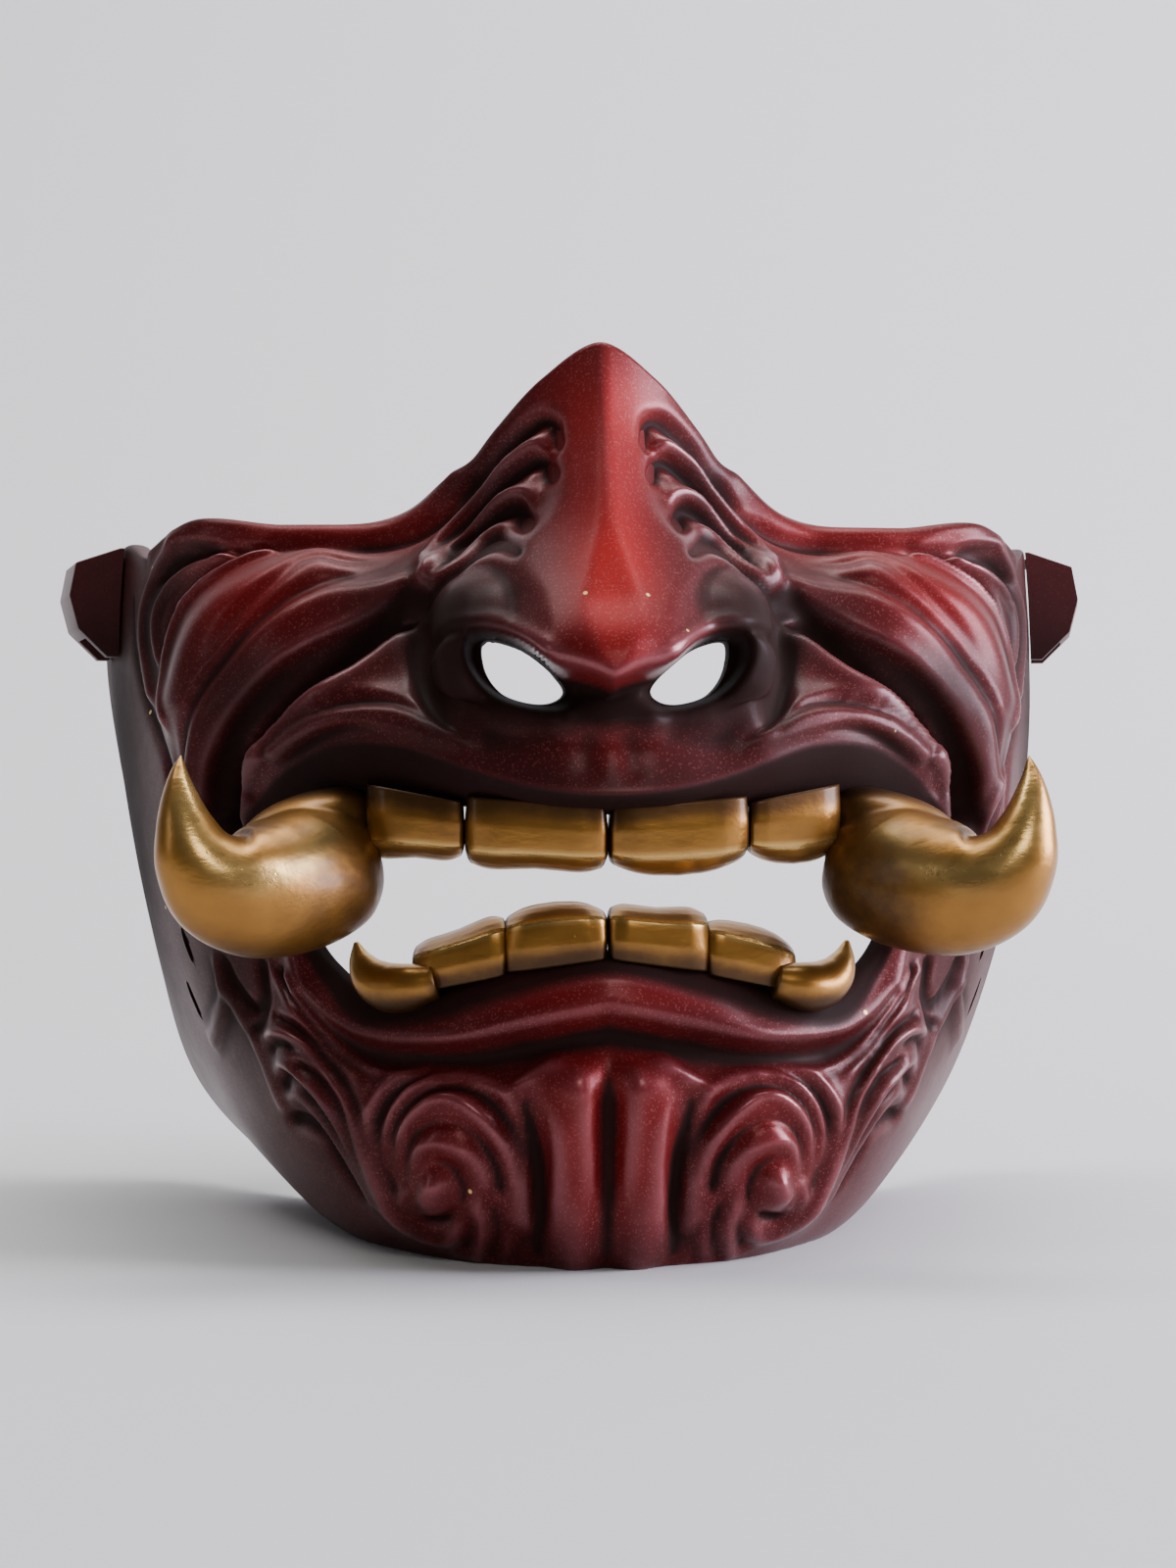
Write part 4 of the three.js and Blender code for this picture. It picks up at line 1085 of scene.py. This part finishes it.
# Painted shade, airbrushed in black on the wearer's left half: middle, radii and strength
DARK_STROKES = (
    ((50, -25, 91), (16, 12, 8), 0.6),
    ((34, -30, 103), (10, 14, 8), 0.65),
    ((20, -24, 122), (8, 14, 12), 0.5),
    ((20, -42, 98), (9, 14, 10), 0.5),
    ((14, -42, 91), (11, 10, 7), 0.7),
    ((0, -54, 87), (14, 14, 3.6), 1.1),
    ((22, -48, 83), (16, 14, 6), 0.4),
    ((44, -34, 80), (15, 12, 6), 0.5),
    ((0, -52, 76), (36, 12, 4), 0.5),
    ((61, -18, 70), (7, 12, 14), 0.75),
    ((34, -42, 33), (22, 14, 4), 0.25),
    ((0, -50, 36), (14, 12, 3), 0.12),
    ((22, -42, 103), (9, 12, 8), 0.5),
    ((26, -40, 94), (6, 12, 9), 0.45),
    ((62, -12, 38), (15, 18, 22), 0.65),
    ((12, -46, 16), (3, 10, 14), 0.35),
    ((44, -30, 20), (8, 14, 16), 0.5),
    ((0, -44, 3), (30, 14, 5), 0.35),
    ((88, 34, 66), (20, 46, 70), 1.1),
    ((72, 6, 106), (7, 12, 12), 0.45),
    ((60, -14, 94), (8, 12, 16), 0.25),
)
# Brighter red coats on the bridge, and painted light on the cheeks, the brow, the lips and the chin
BRIGHT_STROKES = (
    ((0, -52, 108), (7, 24, 20), 1.0),
    ((3, -40, 136), (8, 24, 12), 0.6),
    ((56, -12, 106), (12, 14, 8), 0.5),
    ((40, -12, 118), (30, 14, 5), 0.35),
    ((22, -50, 44), (24, 16, 4), 0.15),
    ((3, -50, 22), (8, 14, 16), 0.45),
    ((12, -50, 44), (16, 10, 3.5), 0.15),
    ((25, -44, 20), (10, 14, 12), 0.2),
)


def airbrushed(points, strokes):
    """Paint that airbrush strokes leave at each point; a stroke has a middle, three radii and a strength"""
    spread = np.zeros(len(points))
    for middle, radii, strength in strokes:
        spread += strength * np.exp(-(((points - middle) / radii) ** 2).sum(axis=1))
    return spread


def new_piece(name, points, faces, paints, material, slot, node):
    """Makes a piece in metres, gives it its paint, and lets it ride in place of its solid"""
    mesh = bpy.data.meshes.new(name)
    mesh.from_pydata((points * MM).tolist(), [], faces.tolist())
    mesh.validate()
    folded = points.copy()
    folded[:, 0] = np.abs(folded[:, 0])
    # Bright strokes add brighter red and painted light; dark strokes add painted shade
    glow = airbrushed(folded, BRIGHT_STROKES)
    shade = airbrushed(folded, DARK_STROKES) - 0.3 * glow
    layers = {
        "wash_and_shade": np.clip(paints[:, 0] + shade * (slot == "crimson_lacquer"), 0, 1),
        "crest": paints[:, 1],
        "glow": np.clip(glow, 0, 1),
    }
    for layer, amounts in layers.items():
        mesh.attributes.new(layer, "FLOAT", "POINT").data.foreach_set("value", amounts.astype(np.float32))
    mesh.polygons.foreach_set("use_smooth", np.ones(len(mesh.polygons), bool))
    mesh.materials.append(material)
    piece = bpy.data.objects.new(name, mesh)
    bpy.context.scene.collection.objects.link(piece)
    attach(piece, "root")
    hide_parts(node)
    return piece


def material_of(name, maker, settings):
    """The material of that name, made at its first use"""
    return bpy.data.materials.get(name) or maker(settings)


def colour_setting(name, description, red, green, blue):
    return FloatVectorProperty(name=name, description=description, subtype="COLOR", size=3,
                               default=(red, green, blue), min=0, max=1)


class MaskFinish(bpy.types.PropertyGroup):
    """Colours of the mask's paints"""

    lacquer: colour_setting("Lacquer", "Metallic crimson of the shell", 0.078, 0.0065, 0.0075)
    # Brighter red of the bridge, and painted light on the cheeks, brow, lips and chin
    bright_lacquer_and_light: colour_setting("Bright lacquer and painted light", "Red of the bridge and the cheeks", 0.4, 0.0105, 0.0095)
    deep_lacquer: colour_setting("Deep lacquer", "Clouds of burgundy in the lacquer", 0.042, 0.005, 0.007)
    # Lighter crests: wear that is partly a painted highlight
    wear_and_highlight: colour_setting("Worn crest and painted highlight", "Lighter lacquer along the sharp crests", 0.26, 0.055, 0.065)
    flake: colour_setting("Flake", "Bright flake in the lacquer", 0.36, 0.1, 0.09)
    # Black wash of the hollows, which also stands for painted shade
    wash_and_shade: colour_setting("Wash and painted shade", "Dark wash and painted shade in the hollows", 0.015, 0.005, 0.004)
    gold: colour_setting("Gold", "Gold paint of the teeth and tusks", 0.42, 0.2, 0.033)
    deep_gold: colour_setting("Deep gold", "Browner clouds in the gold paint", 0.15, 0.056, 0.009)
    # Rubbed gold of the crests, partly a painted highlight, and the colour of the specks
    highlight_and_speck_gold: colour_setting("Rubbed gold, painted highlight and specks", "Gold of the specks, and on crests rubbed bright and painted as highlights", 0.85, 0.58, 0.2)
    gold_shade: colour_setting("Gold shade", "Brown shading near the gums", 0.02, 0.007, 0.003)


class StageSetup(bpy.types.PropertyGroup):
    """Sizes of the floor and camera, the lens and the floor's colour"""

    camera_distance: FloatProperty(
        name="Camera distance", description="From the camera to the middle of the mask, along Y",
        subtype="DISTANCE", unit="LENGTH", default=0.45, min=0.1)
    camera_side: FloatProperty(
        name="Camera side", description="How far the camera stands to the right of the mask's middle",
        subtype="DISTANCE", unit="LENGTH", default=-0.0259)
    camera_turn: FloatProperty(
        name="Camera turn", description="How far the camera turns towards the mask",
        subtype="ANGLE", unit="ROTATION", default=-math.radians(3.24))
    camera_height: FloatProperty(
        name="Camera height", description="Height of the camera over the floor",
        subtype="DISTANCE", unit="LENGTH", default=0.0757, min=0.02)
    lens: FloatProperty(name="Lens", description="Focal length", unit="CAMERA", default=60.0, min=10)
    floor_size: FloatProperty(
        name="Floor size", description="Width of the floor and backdrop",
        subtype="DISTANCE", unit="LENGTH", default=6.0, min=1)
    floor_colour: colour_setting("Floor colour", "Pale grey of the floor and backdrop", 0.66, 0.66, 0.66)


class MASK_OT_shell(bpy.types.Operator):
    """Builds the carved outer skin and the plain lining of the face shell"""

    bl_idname = "mask.shell"
    bl_label = "Build the face shell"

    def execute(self, context):
        lacquer = material_of("crimson lacquer over black wash and painted shade", crimson_lacquer, context.scene.mask_finish)
        new_piece("shell_skin", *shell_skin(), lacquer, "crimson_lacquer", "face_shell")
        new_piece("shell_lining", *lining_skin(), lacquer, "crimson_lacquer", "face_shell")
        return {"FINISHED"}


class MASK_OT_teeth(bpy.types.Operator):
    """Builds the flat upper and lower teeth"""

    bl_idname = "mask.teeth"
    bl_label = "Build the flat teeth"

    def execute(self, context):
        gold = material_of("gold paint with brown shading", gold_paint, context.scene.mask_finish)
        for row, half in (("upper", UPPER_TEETH), ("lower", LOWER_TEETH)):
            for number, sizes in enumerate(whole_row(half), start=1):
                node = f"{row}_tooth_{number}"
                new_piece(f"{node}_gilt", *flat_tooth(*sizes), gold, "gold_paint", node)
        return {"FINISHED"}


class MASK_OT_tusks(bpy.types.Operator):
    """Builds the two tusks with their roots, and the two small fangs"""

    bl_idname = "mask.tusks"
    bl_label = "Build the tusks and fangs"

    def execute(self, context):
        gold = material_of("gold paint with brown shading", gold_paint, context.scene.mask_finish)
        for name, side in (("left", 1), ("right", -1)):
            tusk = melded([horn(TUSK_LINE, side), horn(TUSK_ROOT, side)], MELD_VOXEL, MELD_PASSES)
            fang = horn(FANG_LINE, side)
            new_piece(f"tusk_{name}_gilt", *tusk, tusk_paints(tusk[0]), gold, "gold_paint", f"tusk_{name}")
            new_piece(f"lower_fang_{name}_gilt", *fang, fang_paints(fang[0]), gold, "gold_paint",
                      f"lower_fang_{name}")
        return {"FINISHED"}


class MASK_OT_lugs(bpy.types.Operator):
    """Builds the two faceted strap lugs, with broken edges"""

    bl_idname = "mask.lugs"
    bl_label = "Build the strap lugs"

    def execute(self, context):
        lacquer = material_of("crimson lacquer over black wash and painted shade", crimson_lacquer, context.scene.mask_finish)
        for name in ("strap_lug_left", "strap_lug_right"):
            points, faces, paints = lug_skin(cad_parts[name])
            lug = new_piece(f"{name}_facets", points, faces, paints, lacquer, "crimson_lacquer", name)
            lug.data.polygons.foreach_set("use_smooth", np.zeros(len(lug.data.polygons), bool))
        return {"FINISHED"}


# Soft lights: place, what each one points at, its two sides in metres, watts and colour
LIGHTS = (
    ("window_right", (1.3, -0.15, 0.5), (0, 0, 0.08), (0.7, 0.9), 50, (0.87, 0.85, 1.0)),
    ("window_front", (0.25, -1.3, 0.9), (0, 0, 0.08), (0.5, 0.5), 4, (1.0, 0.97, 0.94)),
    ("fill_left", (-1.3, -0.5, 0.5), (0, 0, 0.07), (0.25, 0.7), 1, (0.95, 0.95, 1.0)),
    ("sky", (0.2, 0.3, 1.8), (0, 0.2, 0.05), (0.7, 0.6), 6, (1.0, 0.99, 1.0)),
    ("wall_wash", (0, 0.3, 1.7), (0, 1.1, 0.3), (2.2, 0.8), 34, (1.0, 1.0, 1.0)),
)
WORLD_COLOUR = (0.9, 0.93, 1.0, 1)
WORLD_STRENGTH = 0.07


def soft_light(name, place, target, size, watts, colour):
    """A rectangular lamp at a place, aimed at a target"""
    lamp = bpy.data.lights.new(name, "AREA")
    lamp.shape = "RECTANGLE"
    lamp.size, lamp.size_y = size
    lamp.energy = watts
    lamp.color = colour
    item = bpy.data.objects.new(name, lamp)
    item.location = place
    item.rotation_euler = (Vector(target) - Vector(place)).to_track_quat("-Z", "Y").to_euler()
    bpy.context.scene.collection.objects.link(item)


def sweep_backdrop(setup):
    """Floor that curves up into a wall behind the mask"""
    half, radius, reach = setup.floor_size / 2, 0.6, 0.5
    profile = [(-half, 0.0), (reach, 0.0)]
    for k in range(1, 13):
        turn = k / 12 * math.pi / 2
        profile.append((reach + radius * math.sin(turn), radius * (1 - math.cos(turn))))
    profile.append((reach + radius, 2.5))
    points = np.array([(x, y, z) for y, z in profile for x in (-half, half)])
    rows = range(len(profile) - 1)
    faces = np.array([(2 * k, 2 * k + 1, 2 * k + 3, 2 * k + 2) for k in rows])
    mesh = bpy.data.meshes.new("floor_sweep")
    mesh.from_pydata(points.tolist(), [], faces.tolist())
    mesh.polygons.foreach_set("use_smooth", np.ones(len(mesh.polygons), bool))
    paint = Paint("pale studio floor")
    speck = paint.noise(40.0, 4.0)
    colour = paint.mix(speck * 0.06, setup.floor_colour, tuple(0.9 * c for c in setup.floor_colour))
    # Painted shade: the floor darkens towards the front, away from the mask
    forward = paint.node("ShaderNodeSeparateXYZ", {}, {"Vector": paint.place()}, output="Y")
    colour = paint.mix(paint.range(forward, -0.22, -0.6), colour, tuple(0.25 * c for c in setup.floor_colour))
    mesh.materials.append(paint.finish(Base_Color=colour, Roughness=0.85))
    floor = bpy.data.objects.new("floor_sweep", mesh)
    bpy.context.scene.collection.objects.link(floor)


class MASK_OT_stage(bpy.types.Operator):
    """Sets the pale floor, the soft studio light and the camera"""

    bl_idname = "mask.stage"
    bl_label = "Set the stage"

    def execute(self, context):
        setup = context.scene.mask_stage
        sweep_backdrop(setup)
        camera = bpy.data.cameras.new("camera")
        camera.lens = setup.lens
        camera.sensor_width = 36.0
        holder = bpy.data.objects.new("camera", camera)
        holder.location = (setup.camera_side, -setup.camera_distance, setup.camera_height)
        holder.rotation_euler = (math.pi / 2, 0.0, setup.camera_turn)
        context.scene.collection.objects.link(holder)
        context.scene.camera = holder
        for light in LIGHTS:
            soft_light(*light)
        world = bpy.data.worlds.new("studio")
        world.use_nodes = True
        background = world.node_tree.nodes["Background"]
        background.inputs["Color"].default_value = WORLD_COLOUR
        background.inputs["Strength"].default_value = WORLD_STRENGTH
        context.scene.world = world
        return {"FINISHED"}


class MASK_PT_panel(bpy.types.Panel):
    """Shows the paint and stage settings and the building buttons in the sidebar"""

    bl_idname = "MASK_PT_panel"
    bl_label = "Oni half mask"
    bl_space_type = "VIEW_3D"
    bl_region_type = "UI"
    bl_category = "Oni mask"

    def draw(self, context):
        for group in (context.scene.mask_finish, context.scene.mask_stage):
            for name in group.__annotations__:
                self.layout.prop(group, name)
        for operator in OPERATORS:
            self.layout.operator(operator.bl_idname)


OPERATORS = (MASK_OT_shell, MASK_OT_teeth, MASK_OT_tusks, MASK_OT_lugs, MASK_OT_stage)
CLASSES = (MaskFinish, StageSetup, *OPERATORS, MASK_PT_panel)


def register():
    for item in CLASSES:
        bpy.utils.register_class(item)
    bpy.types.Scene.mask_finish = PointerProperty(type=MaskFinish)
    bpy.types.Scene.mask_stage = PointerProperty(type=StageSetup)


def unregister():
    del bpy.types.Scene.mask_stage
    del bpy.types.Scene.mask_finish
    for item in reversed(CLASSES):
        bpy.utils.unregister_class(item)


def main():
    """Builds every piece and the stage"""
    register()
    bpy.ops.mask.shell()
    bpy.ops.mask.teeth()
    bpy.ops.mask.tusks()
    bpy.ops.mask.lugs()
    bpy.ops.mask.stage()


if __name__ == "__main__":
    main()
